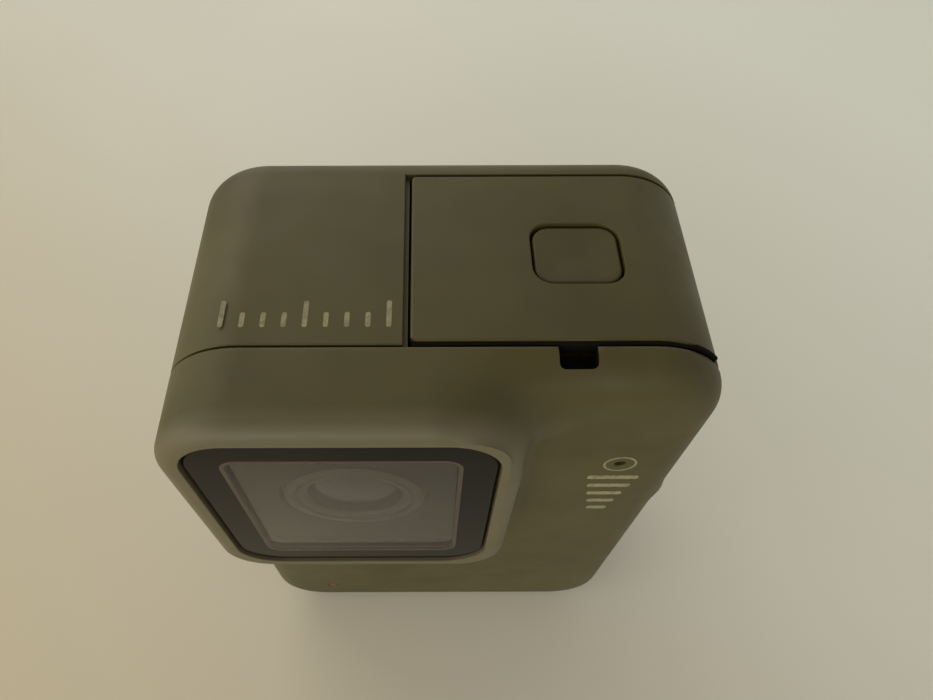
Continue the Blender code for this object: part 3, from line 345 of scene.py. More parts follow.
# moulded silicone rubber: black with a soft bloom and no sharp highlight
def siliconeRubber():
    material, shader = newMaterial("mouldedSilicone", "#10100f", 0.78,
                                   **{"IOR": 1.41, "Specular IOR Level": 0.1})
    grainedSurface(material, shader, ("#0d0d0c", "#10100f", "#141413"), (0.7, 0.85),
                   {"drift": 4.0, "smudge": 2.0, "pit": 0.12, "strength": 0.3, "depth": 0.015})
    return material


# toughened cover glass, clear and faintly smeared; the index is that of its magnesium fluoride coat, which
# takes the gloss down
def coverGlassLook():
    material, shader = newMaterial("toughenedGlass", "#f4f4f2", 0.03,
                                   **{"IOR": 1.38, "Transmission Weight": 1.0,
                                      "Specular Tint": linearColour("#84848c")})
    where = addNode(material, "ShaderNodeTexCoord")
    smear = addNode(material, "ShaderNodeTexNoise",
                    {"Scale": 1 / (7.0 * mm), "Detail": 5.0, "Distortion": 0.6},
                    {"Vector": (where, "Object")})
    gloss = addNode(material, "ShaderNodeMapRange",
                    {"From Min": 0.35, "From Max": 0.75, "To Min": 0.02, "To Max": 0.08},
                    {"Value": (smear, "Fac")})
    link(material, gloss, "Result", shader, "Roughness")
    return material


# ink fired onto the glass: gloss black, very slightly brown; the paler satin line round the clear window is
# painted highlight made the same way, standing in for light caught on the window's edge, and the mask behind
# the glass has the ink dry, so that it swallows light
def printedInkAndHighlight(name, hexes, roughness):
    material, shader = newMaterial(name, hexes[0], roughness[0], **{"IOR": 1.5, "Specular IOR Level": 0.08})
    where = addNode(material, "ShaderNodeTexCoord")
    smear = addNode(material, "ShaderNodeTexNoise",
                    {"Scale": 1 / (6.0 * mm), "Detail": 4.0}, {"Vector": (where, "Object")})
    shade = colourRamp(material, smear, "Fac", [(0.3, hexes[0]), (0.7, hexes[1])])
    link(material, shade, "Color", shader, "Base Color")
    gloss = addNode(material, "ShaderNodeMapRange",
                    {"From Min": 0.3, "From Max": 0.75, "To Min": roughness[0], "To Max": roughness[1]},
                    {"Value": (smear, "Fac")})
    link(material, gloss, "Result", shader, "Roughness")
    return material


# multicoated optical glass: dark, with a faint violet cast in its gloss
def lensGlassLook():
    material, shader = newMaterial("multicoatedOpticalGlass", "#17151c", 0.03,
                                   **{"IOR": 1.6, "Specular IOR Level": 0.2, "Coat Weight": 0.2,
                                      "Coat Roughness": 0.02,
                                      "Coat Tint": linearColour("#c9b4ff")})
    where = addNode(material, "ShaderNodeTexCoord")
    haze = addNode(material, "ShaderNodeTexNoise", {"Scale": 1 / (2.5 * mm), "Detail": 3.0},
                   {"Vector": (where, "Object")})
    shade = colourRamp(material, haze, "Fac", [(0.3, "#131119"), (0.7, "#1d1a24")])
    link(material, shade, "Color", shader, "Base Color")
    return material


# rolled stainless steel: fine lengthwise brushing, bright and a little warm
def stainlessSteel():
    material, shader = newMaterial("brushedStainless", "#b9b7b2", 0.3, 1.0)
    where = addNode(material, "ShaderNodeTexCoord")
    stretched = addNode(material, "ShaderNodeMapping", {"Scale": (1.0, 1.0, 14.0)},
                        {"Vector": (where, "Object")})
    brush = addNode(material, "ShaderNodeTexNoise", {"Scale": 1 / (0.8 * mm), "Detail": 3.0},
                    {"Vector": (stretched, "Vector")})
    shade = colourRamp(material, brush, "Fac", [(0.25, "#a5a39e"), (0.75, "#c6c4bf")])
    link(material, shade, "Color", shader, "Base Color")
    gloss = addNode(material, "ShaderNodeMapRange", {"To Min": 0.22, "To Max": 0.42},
                    {"Value": (brush, "Fac")})
    link(material, gloss, "Result", shader, "Roughness")
    bump = addNode(material, "ShaderNodeBump", {"Strength": 0.15, "Distance": 0.01 * mm},
                   {"Height": (brush, "Fac")})
    link(material, bump, "Normal", shader, "Normal")
    return material


# die-cast magnesium, stamped aluminium or blackened steel: dull metal with a cast skin
def castMetal(name, shade):
    material, shader = newMaterial(name, shade, 0.42, 1.0)
    where = addNode(material, "ShaderNodeTexCoord")
    skin = addNode(material, "ShaderNodeTexNoise", {"Scale": 1 / (0.6 * mm), "Detail": 4.0},
                   {"Vector": (where, "Object")})
    gloss = addNode(material, "ShaderNodeMapRange", {"To Min": 0.32, "To Max": 0.55},
                    {"Value": (skin, "Fac")})
    link(material, gloss, "Result", shader, "Roughness")
    bump = addNode(material, "ShaderNodeBump", {"Strength": 0.3, "Distance": 0.02 * mm},
                   {"Height": (skin, "Fac")})
    link(material, bump, "Normal", shader, "Normal")
    return material


# solder mask over copper: deep green gloss, with lighter tracks 0.3 mm wide on a 0.9 mm pitch
def circuitBoardLook():
    material, shader = newMaterial("solderMask", "#143222", 0.35, **{"IOR": 1.55})
    where = addNode(material, "ShaderNodeTexCoord")
    tracks = addNode(material, "ShaderNodeTexBrick",
                     {"Scale": 1 / (1.8 * mm), "Color1": linearColour("#143222"),
                      "Color2": linearColour("#183a28"), "Mortar": linearColour("#2c5a3c"),
                      "Mortar Size": 0.06, "Brick Width": 1.4, "Row Height": 0.5},
                     {"Vector": (where, "Object")})
    link(material, tracks, "Color", shader, "Base Color")
    bump = addNode(material, "ShaderNodeBump", {"Strength": 0.3, "Distance": 0.02 * mm},
                   {"Height": (tracks, "Fac")})
    link(material, bump, "Normal", shader, "Normal")
    return material


# a plain surface for a small inside piece: one hue that drifts, with uneven gloss
def insidePiece(name, shade, darker, rough, metallic=0.0):
    material, shader = newMaterial(name, shade, rough, metallic)
    grainedSurface(material, shader, (darker, shade, shade), (rough * 0.85, min(rough * 1.2, 1.0)),
                   {"drift": 3.0, "smudge": 2.0, "pit": 0.2, "strength": 0.15, "depth": 0.02})
    return material


# pale pad-printed ink on the coating: thin, a little worn, so the khaki shows through in places
def padPrintInk():
    material, shader = newMaterial("padPrintedInk", "#8f8a6c", 0.5, **{"IOR": 1.5})
    where = addNode(material, "ShaderNodeTexCoord")
    wear = addNode(material, "ShaderNodeTexNoise", {"Scale": 1 / (0.5 * mm), "Detail": 4.0},
                   {"Vector": (where, "Object")})
    shade = colourRamp(material, wear, "Fac", [(0.3, "#777258"), (0.5, "#8f8a6c"), (0.7, "#9d9777")])
    link(material, shade, "Color", shader, "Base Color")
    return material


shellCoat = softTouchCoat()
nylon = blackNylon()
maskPaint = printedInkAndHighlight("antiReflectionPaint", ("#151311", "#1b1815"), (0.75, 0.9))
rubber = siliconeRubber()
glass = coverGlassLook()
borderInk = printedInkAndHighlight("screenPrintedInk", ("#0b0b0a", "#12110f"), (0.08, 0.2))
# a paler band round the clear window: painted highlight for the light its edge catches
windowEdgeHighlight = printedInkAndHighlight("paintedWindowEdgeHighlight", ("#4d4840", "#565047"), (0.3, 0.45))
opticalGlass = lensGlassLook()
steel = stainlessSteel()
boardLook = circuitBoardLook()
printInk = padPrintInk()
print("materials made:", len(bpy.data.materials))


housing = {
    "wide": 28.8 * mm,  # from the -X side
    "tall": 32.0 * mm,  # down from the +Z side
    "freeR": 5.0 * mm,
    "ringRoll": 1.5 * mm,
    "flare": 2.0 * mm,
    # where the housing runs out into the case's rolled edge, softened over this distance
    "softPlaces": (((5.4 * mm, -9.6 * mm, 60.0 * mm), 8.0 * mm),
                   ((-20.4 * mm, -9.4 * mm, 30.4 * mm), 5.0 * mm)),
    "glassInset": 2.3 * mm,
    "glassR": 4.0 * mm,
    "glassPlay": 0.22 * mm,
    "lip": 0.14 * mm,
    "ledge": 0.8 * mm,
    "windowInset": 2.7 * mm,
    "windowPlay": 0.5 * mm,
    "windowR": 2.0 * mm,
}
nub = {"z": 38.6 * mm, "y": -8.6 * mm, "long": 1.7 * mm, "wide": 0.8 * mm, "proud": 0.32 * mm}
hub = (left + housing["wide"] / 2, top - housing["tall"] / 2)
glassBox = ((left + housing["glassInset"], top - housing["tall"] + housing["glassInset"]),
            (left + housing["wide"] - housing["glassInset"], top - housing["glassInset"]))
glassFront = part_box("cover_glass")[0].y
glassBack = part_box("cover_glass")[1].y
ledgeFront = glassBack + 0.9 * mm


def caseLoop(inset, steps=16):
    return roundedLoop((left + inset, inset), (right - inset, top - inset), case["cornerR"] - inset, steps)


def housingLoop(inset, flare=0.0, steps=16):
    free = housing["freeR"] - inset
    return roundedLoop((left + inset, top - housing["tall"] + inset - flare),
                       (left + housing["wide"] - inset + flare, top - inset),
                       (free, case["cornerR"] - inset, free, free), steps)


def reachOf(loop, angles):
    # how far the loop lies from the hub in each direction
    points = np.array(loop + loop[:1]) - np.array(hub)
    dense = np.concatenate([points[i] + np.linspace(0, 1, 60, endpoint=False)[:, None]
                            * (points[i + 1] - points[i]) for i in range(len(points) - 1)])
    bearing = np.unwrap(np.arctan2(dense[:, 1], dense[:, 0]))
    order = np.argsort(np.mod(bearing, 2 * math.pi))
    return np.interp(angles, np.mod(bearing, 2 * math.pi)[order], np.hypot(dense[:, 0], dense[:, 1])[order],
                     period=2 * math.pi)


def bearings():
    # enough directions to follow every corner of the case and of the housing
    found = []
    for loop in (caseLoop(0), caseLoop(case["frontRound"]), housingLoop(0), housingLoop(0, housing["flare"]),
                 housingLoop(housing["ringRoll"])):
        points = np.array(loop + loop[:1])
        for a, b in zip(points, points[1:]):
            count = max(1, int(np.hypot(*(b - a)) / (1.6 * mm)))
            for step in range(count):
                at = a + (b - a) * step / count - np.array(hub)
                found.append(math.atan2(at[1], at[0]) % (2 * math.pi))
    found.sort()
    kept = [found[0]]
    for angle in found:
        if angle - kept[-1] > math.radians(0.45):
            kept.append(angle)
    return np.array(kept)


def relax(grid, places, passes=160):
    # softens the skin round the given places, and leaves the rest alone
    weight = np.zeros(grid.shape[:2])
    for place, radius in places:
        away = np.linalg.norm(grid - np.array(place), axis=2)
        share = np.clip((radius - away) / (radius * 0.6), 0, 1)
        weight = np.maximum(weight, share * share * (3 - 2 * share))
    seamward = np.clip((seamY - 0.4 * mm - grid[:, :, 1]) / (1.6 * mm), 0, 1)
    weight *= seamward
    for number in range(passes):
        around = (np.roll(grid, 1, 1) + np.roll(grid, -1, 1))[1:-1] / 4 + (grid[2:] + grid[:-2]) / 4
        grid[1:-1] += weight[1:-1, :, None] * (around - grid[1:-1])
    return grid


def frontGrid():
    # rows of points from the seam, over the rolled edge and the front face, up the lens housing to its ring
    angles = bearings()
    face, roll = case["faceY"], case["frontRound"]
    outermost = reachOf(caseLoop(0), angles)
    flareR = housing["flare"]
    rows = []

    def row(reach, level):
        rows.append([(hub[0] + r * math.cos(a), level, hub[1] + r * math.sin(a))
                     for r, a in zip(reach, angles)])

    back = seamY - case["seam"] / 2
    for step in range(4):
        angle = math.radians(30 * step)
        inset = case["seamRoll"] * (1 - math.sin(angle))
        row(reachOf(caseLoop(inset), angles), back - case["seamRoll"] * (1 - math.cos(angle)))
    for step in range(1, 19):
        angle = math.radians(5 * step)
        ahead = roll * (1 - math.sin(angle))
        edge = reachOf(caseLoop(roll * (1 - math.cos(angle))), angles) + edgeNub(angles, face + ahead)
        foot = reachOf(housingLoop(0, max(flareR - ahead, 0)), angles)
        row(np.minimum(np.maximum(edge, foot), outermost), face + ahead)
    flared = np.minimum(reachOf(housingLoop(0, flareR), angles), outermost)
    inner = np.maximum(reachOf(caseLoop(roll), angles), flared)
    for step in range(1, 8):
        share = step / 8
        row(inner + (flared - inner) * share, face - 0.01 * mm * share)
    for step in range(13):
        angle = math.radians(7.5 * step)
        reach = np.minimum(reachOf(housingLoop(0, flareR * (1 - math.sin(angle))), angles), outermost)
        row(reach, face - flareR * (1 - math.cos(angle)) - 0.012 * mm)
    for step in range(13):
        angle = math.radians(7.5 * step)
        inset = housing["ringRoll"] * (1 - math.cos(angle))
        row(reachOf(housingLoop(inset), angles), ringY + housing["ringRoll"] * (1 - math.sin(angle)))
    grid = relax(np.array(rows), housing["softPlaces"])
    grid[:, :, 2] = np.clip(grid[:, :, 2], 0, top)
    return grid


def edgeNub(angles, level):
    # the small grip bump on the rolled edge of the underside
    z = hub[1] + (right - hub[0]) * np.tan(angles)
    facing = np.cos(angles) > 0.5
    bump = np.exp(-((z - nub["z"]) / nub["long"]) ** 2) * math.exp(-((level - nub["y"]) / nub["wide"]) ** 2)
    return np.where(facing, nub["proud"] * bump, 0.0)


def gridPiece(name, grid, material, sharp):
    bm = bmesh.new()
    rows = [[bm.verts.new(Vector(point)) for point in row] for row in grid]
    bm.faces.new(rows[0])
    bm.faces.new(rows[-1])
    for near, far in zip(rows, rows[1:]):
        for i, here in enumerate(near):
            j = (i + 1) % len(near)
            bm.faces.new((here, near[j], far[j], far[i]))
    bmesh.ops.remove_doubles(bm, verts=bm.verts, dist=0.002 * mm)
    bmesh.ops.dissolve_degenerate(bm, edges=bm.edges, dist=0.001 * mm)
    return evenNormals(meshPiece(name, bm, material, sharp))


def corneredPath(inset, startX, endZ, steps=16):
    r = max(case["cornerR"] - inset, 0.3 * mm)
    centre = (right - inset - r, top - inset - r)
    return [(startX, top - inset)] + arcLoop(centre, r, 90, 0, steps) + [(right - inset, endZ)]


door = {
    "left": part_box("side_door")[0].x,
    "front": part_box("side_door")[0].y,
    "back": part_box("side_door")[1].y,
    "skin": 1.3 * mm,
    "rim": 1.0 * mm,
    "roll": 0.2 * mm,
    "rimUp": 1.5 * mm,
    "rimIn": 0.05 * mm,
    "rimR": 0.15 * mm,
    "knuckleIn": 0.15 * mm,
    "cornerR": 0.6 * mm,
    "cornerDeep": 3.4 * mm,
    "hinge": (right - 1.1 * mm, top - 7.5 * mm),
    "knuckleR": 1.1 * mm,
    "boreR": 0.5 * mm,
    "boreHalf": 7.6 * mm,
    "swingR": 1.9 * mm,  # the knuckle's turning room in the shell
    "armHalf": 3.0 * mm,
    "armPlay": 0.2 * mm,
    "armGap": 3.3 * mm,  # half the gap between the knuckles, where the arm sits
    "hingeY": (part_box("side_door")[0].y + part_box("side_door")[1].y) / 2,
    "groove": 0.55 * mm,
    "ledge": 0.5 * mm,
}


def wellWall():
    inset = case["well"] + case["seatWall"]
    clear = case["clear"]
    start = door["left"] - door["groove"] - case["seatWall"]
    lower = door["hinge"][1] - door["swingR"] - case["seatWall"]
    return corneredPath(inset, start, lower) + [(right + clear, lower), (right + clear, top + clear),
                                                (start, top + clear)]


notch = {
    "x": right - 12.6 * mm,
    "wide": 3.0 * mm,
    "long": 1.75 * mm,
    "deep": 1.9 * mm,
    "roll": 0.12 * mm,
    "behind": 1.6 * mm,  # the cut runs on this far past the seam
    # its rounded corners, as steps in from the side and back from the end
    "corner": ((0.05 * mm, 0.32 * mm), (0.15 * mm, 0.12 * mm), (0.4 * mm, 0.0)),
}
holes = {
    "mic": (right - 6.58 * mm, top - 14.64 * mm),
    "micR": 0.5 * mm,
    "light": (left + 7.91 * mm, 6.62 * mm),
    "lightR": 0.65 * mm,
    "flare": 0.16 * mm,
    "deep": 3.0 * mm,
}


def notchLoop(extra):
    x, half = notch["x"], notch["wide"] / 2 + extra
    front, back = seamY - notch["long"] - extra, seamY + notch["behind"]
    end = [(x - half + aside, front + along) for aside, along in notch["corner"]]
    end += [(x + half - aside, front + along) for aside, along in notch["corner"][::-1]]
    return [(x - half, back)] + end + [(x + half, back)]


def darkenNotch(shell):
    # the walls and floor of the notch are given the black rubber finish in place of the coat
    shell.data.materials.append(rubber)
    slack, steep, level = 0.02 * mm, 0.4, 0.97
    lowest, highest = top - notch["deep"] - 0.05 * mm, top - 0.1 * mm
    for face in shell.data.polygons:
        at, way = face.center, face.normal
        inside = abs(at.x - notch["x"]) < notch["wide"] / 2 + slack and at.y > seamY - notch["long"] - slack
        if inside and lowest < at.z < highest and (abs(way.z) < steep or way.z > level):
            face.material_index = len(shell.data.materials) - 1


def makeFrontShell():
    shell = gridPiece("frontShell", frontGrid(), shellCoat, 38)
    face, wall = case["faceY"], case["wall"]
    edge = [(caseLoop(wall + inset), face + wall + back) for inset, back in case["hollowEdge"]]
    hollow = toolMesh([edge + [(caseLoop(wall), seamY + wall)]], flatFront)
    shapeWith(hollow, toolMesh([[(wellWall(), face), (wellWall(), seamY + 2 * wall)]], flatFront))
    shapeWith(shell, hollow)
    ledge, lip = housing["ledge"], housing["lip"]
    inside = housingLoop(wall)
    carve(shell, [[(inside, ledgeFront + ledge), (inside, face + wall * 1.5)]], flatFront)

    def pocket(extra):
        out = housing["glassPlay"] + extra
        return roundedLoop(*grow(glassBox, out), housing["glassR"] + out, 16)

    carve(shell, [mouth(pocket, ringY, 1, ledgeFront - ringY, lip)], flatFront)
    window = grow(glassBox, housing["windowPlay"] - housing["windowInset"])
    window = roundedLoop(*window, housing["windowR"], 10)
    carve(shell, [[(window, ledgeFront - ledge), (window, ledgeFront + 2 * ledge)]], flatFront)
    carve(shell, [mouth(notchLoop, top, -1, notch["deep"], notch["roll"])], flatTop)
    darkenNotch(shell)
    drilled = []
    flare = holes["flare"]
    for at, radius in ((holes["mic"], holes["micR"]), (holes["light"], holes["lightR"])):
        bore = roundLoop(at, radius, 32)
        drilled.append([(roundLoop(at, radius + flare, 32), face - flare / 2), (bore, face + flare / 2),
                        (bore, face + holes["deep"])])
    carve(shell, drilled, flatFront)
    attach(shell, "case")
    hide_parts("front_shell")
    return shell


frontShell = makeFrontShell()
print("front shell:", len(frontShell.data.polygons), "faces")


rear = {
    "wall": 1.7 * mm,
    "glassMargin": 3.1 * mm,
    "glassR": 4.4 * mm,
    "glassPlay": 0.15 * mm,
    "glassRoll": (0.18 * mm, 0.05 * mm),
    "ink": (0.05 * mm, 0.06 * mm),  # how far it reaches behind the glass and into it
    "inkIn": 0.12 * mm,
    "pictureIn": 0.6 * mm,
    "pictureR": 0.3 * mm,
    "pocketDeep": 1.2 * mm,
    "panelPlay": 0.3 * mm,
    "panelR": 0.6 * mm,
    "lipRoll": 0.12 * mm,
    "socketPlay": 0.25 * mm,
    "socketR": {"usb_socket": 1.6 * mm, "card_socket": 0.4 * mm},
    "wellBack": door["back"] + 0.2 * mm,
}
buttons = {
    "roll": 0.35 * mm,
    "sunk": 0.2 * mm,
    "gap": 0.28 * mm,
    "lip": 0.14 * mm,
    "flange": 0.8 * mm,
    "flangeThick": 0.5 * mm,
    "flangePlay": 0.6 * mm,
    # the rib's steps, in from the cap's edge and down from its top
    "rib": ((1.5 * mm, 0.12 * mm), (1.1 * mm, 0.12 * mm), (0.85 * mm, 0.0)),
    "shutter": {"box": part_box("shutter_button"), "wide": 8.4 * mm, "tall": 12.0 * mm},
    "mode": {"box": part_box("mode_button"), "wide": 11.0 * mm, "tall": 5.6 * mm},
}
grille = {
    "box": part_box("speaker_grille"),
    "wide": 6.0 * mm,
    "tall": 12.0 * mm,
    "gap": 0.12 * mm,
    "slots": 5,
    "pitch": 1.9 * mm,
    "slotTall": 0.8 * mm,
}


def middleOf(box, first, second):
    return ((box[0][first] + box[1][first]) / 2, (box[0][second] + box[1][second]) / 2)


shutterAt = middleOf(buttons["shutter"]["box"], 1, 2)
modeAt = middleOf(buttons["mode"]["box"], 0, 1)
grilleAt = middleOf(grille["box"], 1, 2)


def wellLoop():
    clear = case["clear"]
    lower = door["hinge"][1] - door["swingR"]
    start = door["left"] - door["armPlay"]
    loop = corneredPath(case["well"], start, door["hinge"][1])
    loop.append((right - case["well"], lower))
    loop += arcLoop(door["hinge"], door["swingR"], 270, 325, 8)
    loop += [(right + clear, lower), (right + clear, top + clear)]
    edge = door["left"] - door["groove"]
    loop += [(edge - 0.1 * mm, top + clear), (edge - 0.1 * mm, top), (edge - 0.03 * mm, top - 0.04 * mm),
             (edge, top - 0.12 * mm), (edge, top - door["ledge"])]
    loop.append((start, top - door["ledge"]))
    return loop


def makeMainShell():
    loops = rolledLevels(caseLoop, seamY + case["seam"] / 2, backY, case["seamRoll"], case["backRound"], 12)
    shell = loftPiece("mainShell", loops, flatFront, shellCoat, sharp=38)
    wall = case["wall"]
    hollow = toolMesh([[(caseLoop(wall), seamY - wall), (caseLoop(wall), backY - rear["wall"])]], flatFront)
    seatEnd = rear["wellBack"] + case["seatWall"]
    shapeWith(hollow, toolMesh([[(wellWall(), seamY - 2 * wall), (wellWall(), seatEnd)]], flatFront))
    shapeWith(shell, hollow)
    lip = rear["lipRoll"]
    carve(shell, [[(wellLoop(), seamY - wall), (wellLoop(), rear["wellBack"])]], flatFront)
    ports = []
    floor = top - case["well"]
    for node, radius in rear["socketR"].items():
        near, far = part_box(node)
        box = grow(((near.x, near.y), (far.x, far.y)), rear["socketPlay"])
        # a small chamfer round each mouth in the well's floor
        wide = roundedLoop(*grow(box, 0.2 * mm), radius + 0.3 * mm, 8)
        hole = roundedLoop(*box, radius + 0.2 * mm, 8)
        ports.append([(wide, floor + 0.1 * mm), (hole, floor - lip), (hole, floor - 3 * mm)])
    carve(shell, ports, flatTop)

    def screenLoop(extra):
        out = rear["glassPlay"] + extra
        m = rear["glassMargin"] - out
        return roundedLoop((left + m, m), (right - m, top - m), rear["glassR"] + out, 14)

    carve(shell, [mouth(screenLoop, backY, -1, rear["pocketDeep"], lip)], flatFront)
    low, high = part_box("lcd_panel")
    window = roundedLoop(*grow(((low.x, low.z), (high.x, high.z)), rear["panelPlay"]), rear["panelR"], 6)
    carve(shell, [[(window, backY - 2 * rear["wall"]), (window, backY)]], flatFront)
    mouths = ((shutterAt, buttons["shutter"], buttons["gap"], left, 1, flatSide),
              (modeAt, buttons["mode"], buttons["gap"], 0, 1, flatTop),
              (grilleAt, grille, grille["gap"], right, -1, flatSide))
    for at, size, gap, face, inward, place in mouths:
        def hole(extra):
            return pillLoop(at, size["wide"], size["tall"], gap + extra)
        carve(shell, [mouth(hole, face, inward, 2 * wall, buttons["lip"])], place)
    # the slot that the hinge arm slides in
    play, half = door["armPlay"], door["armHalf"] + door["armPlay"]
    seat, hingeZ = right - case["well"], door["hinge"][1]
    lower, upper = hingeZ - door["knuckleR"] - play, hingeZ + play
    slot = roundedLoop((seat - 3 * mm, lower), (seat + case["seatWall"], upper), play, 4)
    carve(shell, [[(slot, door["hingeY"] - half), (slot, door["hingeY"] + half)]], flatFront)
    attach(shell, "case")
    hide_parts("main_shell")
    return shell


mainShell = makeMainShell()
print("main shell:", len(mainShell.data.polygons), "faces")


latch = {
    "box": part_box("latch_button"),
    "wide": 7.1 * mm,
    "long": 6.0 * mm,
    "r": 1.5 * mm,
    "gap": 0.2 * mm,
    "lip": 0.1 * mm,
    "roll": 0.25 * mm,
    "flange": 0.8 * mm,
    "flangeThick": 0.5 * mm,
    "step": 0.05 * mm,
    "dish": (2.6 * mm, 0.07 * mm),
}
latchAt = middleOf(latch["box"], 0, 1)


def doorBand(inset):
    # the door's section: the outer skin round the corner with its free edge rolled, and the inner skin back
    roll = door["roll"]
    edge = door["left"] + inset
    outer = arcLoop((edge + roll, top - inset - roll), roll, 180, 90, 4)
    outer += corneredPath(inset, door["left"] + inset + roll, door["hinge"][1])[1:]
    inner = corneredPath(door["skin"], door["left"] + inset, door["hinge"][1])[::-1]
    return outer + inner


def makeSideDoor():
    front, back = door["front"], door["back"]
    hingeX, hingeZ = door["hinge"]
    loops = rolledLevels(doorBand, front, back, door["roll"], door["roll"], 4)
    piece = loftPiece("sideDoor", loops, flatFront, shellCoat)
    knuckle = roundLoop(door["hinge"], door["knuckleR"], 40)
    fuse(piece, [[(knuckle, front + door["knuckleIn"]), (knuckle, back - door["knuckleIn"])]], flatFront)
    # a rim on three sides under the skin holds the liner
    bottom, under = top - case["well"] + door["rimUp"], top - door["skin"] / 2
    start, near, far = door["left"] + door["rimIn"], front + door["rimIn"], back - door["rimIn"]
    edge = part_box("door_liner")[1].x
    walls = (((start, near), (door["left"] + door["rim"], far)), ((start, near), (edge, front + door["rim"])),
             ((start, back - door["rim"]), (edge, far)))
    for box in walls:
        loop = roundedLoop(*box, door["rimR"], 3)
        fuse(piece, [[(loop, bottom), (loop, under)]], flatTop)
    # the middle of the hinge side is cut away for the arm
    room, half = 2 * door["knuckleR"], door["armGap"]
    gap = roundedLoop((hingeX - room, hingeZ - room), (hingeX + 1.5 * room, hingeZ + room / 2), 0.3 * mm, 4)
    carve(piece, [[(gap, door["hingeY"] - half), (gap, door["hingeY"] + half)]], flatFront)
    bore, half = roundLoop(door["hinge"], door["boreR"], 24), door["boreHalf"]
    carve(piece, [[(bore, door["hingeY"] - half), (bore, door["hingeY"] + half)]], flatFront)
    # the two free corners of the door are rounded off in plan
    r, out = door["cornerR"], 0.6 * mm
    for y, way in ((front, 1), (back, -1)):
        centre = (door["left"] + r, y + way * r)
        outX, outY = door["left"] - out, y - way * out
        loop = arcLoop(centre, r, 180, 180 + way * 90, 8)
        loop += [(centre[0], outY), (outX, outY), (outX, centre[1])]
        carve(piece, [[(loop, top - door["cornerDeep"]), (loop, top + 1 * mm)]], flatTop)

    def hole(extra):
        return pillLoop(latchAt, latch["wide"], latch["long"], latch["gap"] + extra, latch["r"])

    carve(piece, [mouth(hole, top, -1, 2 * door["skin"], latch["lip"])], flatTop)
    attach(piece, "door")
    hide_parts("side_door")
    return piece


sideDoor = makeSideDoor()
print("side door:", len(sideDoor.data.polygons), "faces")


def makeLatchCap():
    bottom, face = latch["box"][0].z, latch["box"][1].z
    flangeTop = bottom + latch["flangeThick"]

    def shape(inset):
        return pillLoop(latchAt, latch["wide"], latch["long"], -inset, latch["r"])

    loops = rolledLevels(shape, face, flangeTop + latch["step"], latch["roll"], 0, 5)
    loops += [(shape(0), flangeTop), (shape(-latch["flange"]), flangeTop), (shape(-latch["flange"]), bottom)]
    # a shallow dish in the middle for the fingertip
    reach, deep = latch["dish"]
    dish = [(shape(latch["roll"] + reach * share), face - deep * math.sin(share * math.pi / 2))
            for share in (1.0, 0.8, 0.6, 0.4, 0.2)]
    piece = loftPiece("latchCap", dish + loops, flatTop, shellCoat)
    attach(piece, "latch")
    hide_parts("latch_button")


makeLatchCap()


gasket = {
    "sunk": 0.15 * mm,  # below the door's outside
    "crest": 0.3 * mm,  # how far its lip stands past the corner
    "frontRoll": 0.08 * mm,
    "backRoll": 0.04 * mm,
}


def makeGasket():
    front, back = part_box("door_gasket")[0].y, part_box("door_gasket")[1].y
    centre = (right - case["cornerR"], top - case["cornerR"])

    def band(inset):
        sunk = gasket["sunk"] + inset
        lowR, highR = case["cornerR"] - sunk, case["cornerR"] + gasket["crest"] - inset
        lower = door["hinge"][1] + door["knuckleR"]
        outer = [(door["left"] + sunk, top - sunk)]
        outer += arcLoop(centre, lowR, 90, 66, 8)
        outer += arcLoop(centre, highR, 62, 40, 8)
        outer += arcLoop(centre, lowR, 38, 0, 10)
        outer.append((right - sunk, lower))
        return outer + corneredPath(door["skin"], door["left"] + sunk, lower)[::-1]

    loops = rolledLevels(band, front, back, gasket["frontRoll"], gasket["backRoll"], 3)
    piece = loftPiece("doorGasket", loops, flatFront, rubber)
    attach(piece, "door")
    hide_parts("door_gasket")


makeGasket()
print("latch and gasket made")


lens = {
    "axis": (left + 14.55 * mm, top - 15.8 * mm),
    "barrelR": 6.25 * mm,
    "glassRoll": (0.22 * mm, 0.05 * mm),
    "windowR": 1.5 * mm,
    "rimWide": 0.35 * mm,
    "maskR": 1.6 * mm,
    "maskRoll": 0.12 * mm,
    "maskPlay": 0.3 * mm,
    "maskBevel": 0.15 * mm,
    # turned profiles in millimetres: out from the axis, then back from the lens ring
    "barrel": ((6.25, 2.4), (6.25, 9.4), (3.2, 9.4), (3.2, 5.9), (5.25, 5.9), (5.25, 2.45), (5.35, 2.3),
               (6.1, 2.3)),
    "retainer": ((5.15, 2.45), (5.15, 2.95), (4.35, 2.95), (4.35, 2.62), (4.5, 2.42), (5.05, 2.35)),
    "domeR": 4.03,
    "domeRise": 1.1,
    "domeFront": 2.55,
    "domeBack": 4.1,
}


def turnedPiece(name, profile, material, ring=False, steps=96):
    loops = [(roundLoop(lens["axis"], radius * mm, steps), ringY + back * mm) for radius, back in profile]
    return loftPiece(name, loops, flatFront, material, ring)


def makeCoverGlass():
    def plate(inset):
        return roundedLoop(*grow(glassBox, -inset), housing["glassR"] - inset, 16)

    def window(inset):
        return roundedLoop(*grow(glassBox, -housing["windowInset"] - inset), lens["windowR"] - inset, 16)

    rim = window(lens["rimWide"])
    loops = [(rim, glassFront), (window(0), glassFront)]
    loops += rolledLevels(plate, glassFront, glassBack, *lens["glassRoll"], 4)
    loops += [(window(0), glassBack), (rim, glassBack)]
    piece = loftPiece("coverGlass", loops, flatFront, glass)
    # the border is printed on the glass and leaves a clear window; the paler line round the window is painted
    # highlight for the light its edge catches
    piece.data.materials.append(borderInk)
    piece.data.materials.append(windowEdgeHighlight)
    clearLow, clearHigh = grow(glassBox, -housing["windowInset"])
    for face in piece.data.polygons:
        at = face.center
        outside = max(clearLow[0] - at.x, at.x - clearHigh[0], clearLow[1] - at.z, at.z - clearHigh[1])
        if len(face.vertices) == 4:
            face.material_index = 1 if outside > 0 else 2
    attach(piece, "case")
    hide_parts("cover_glass")


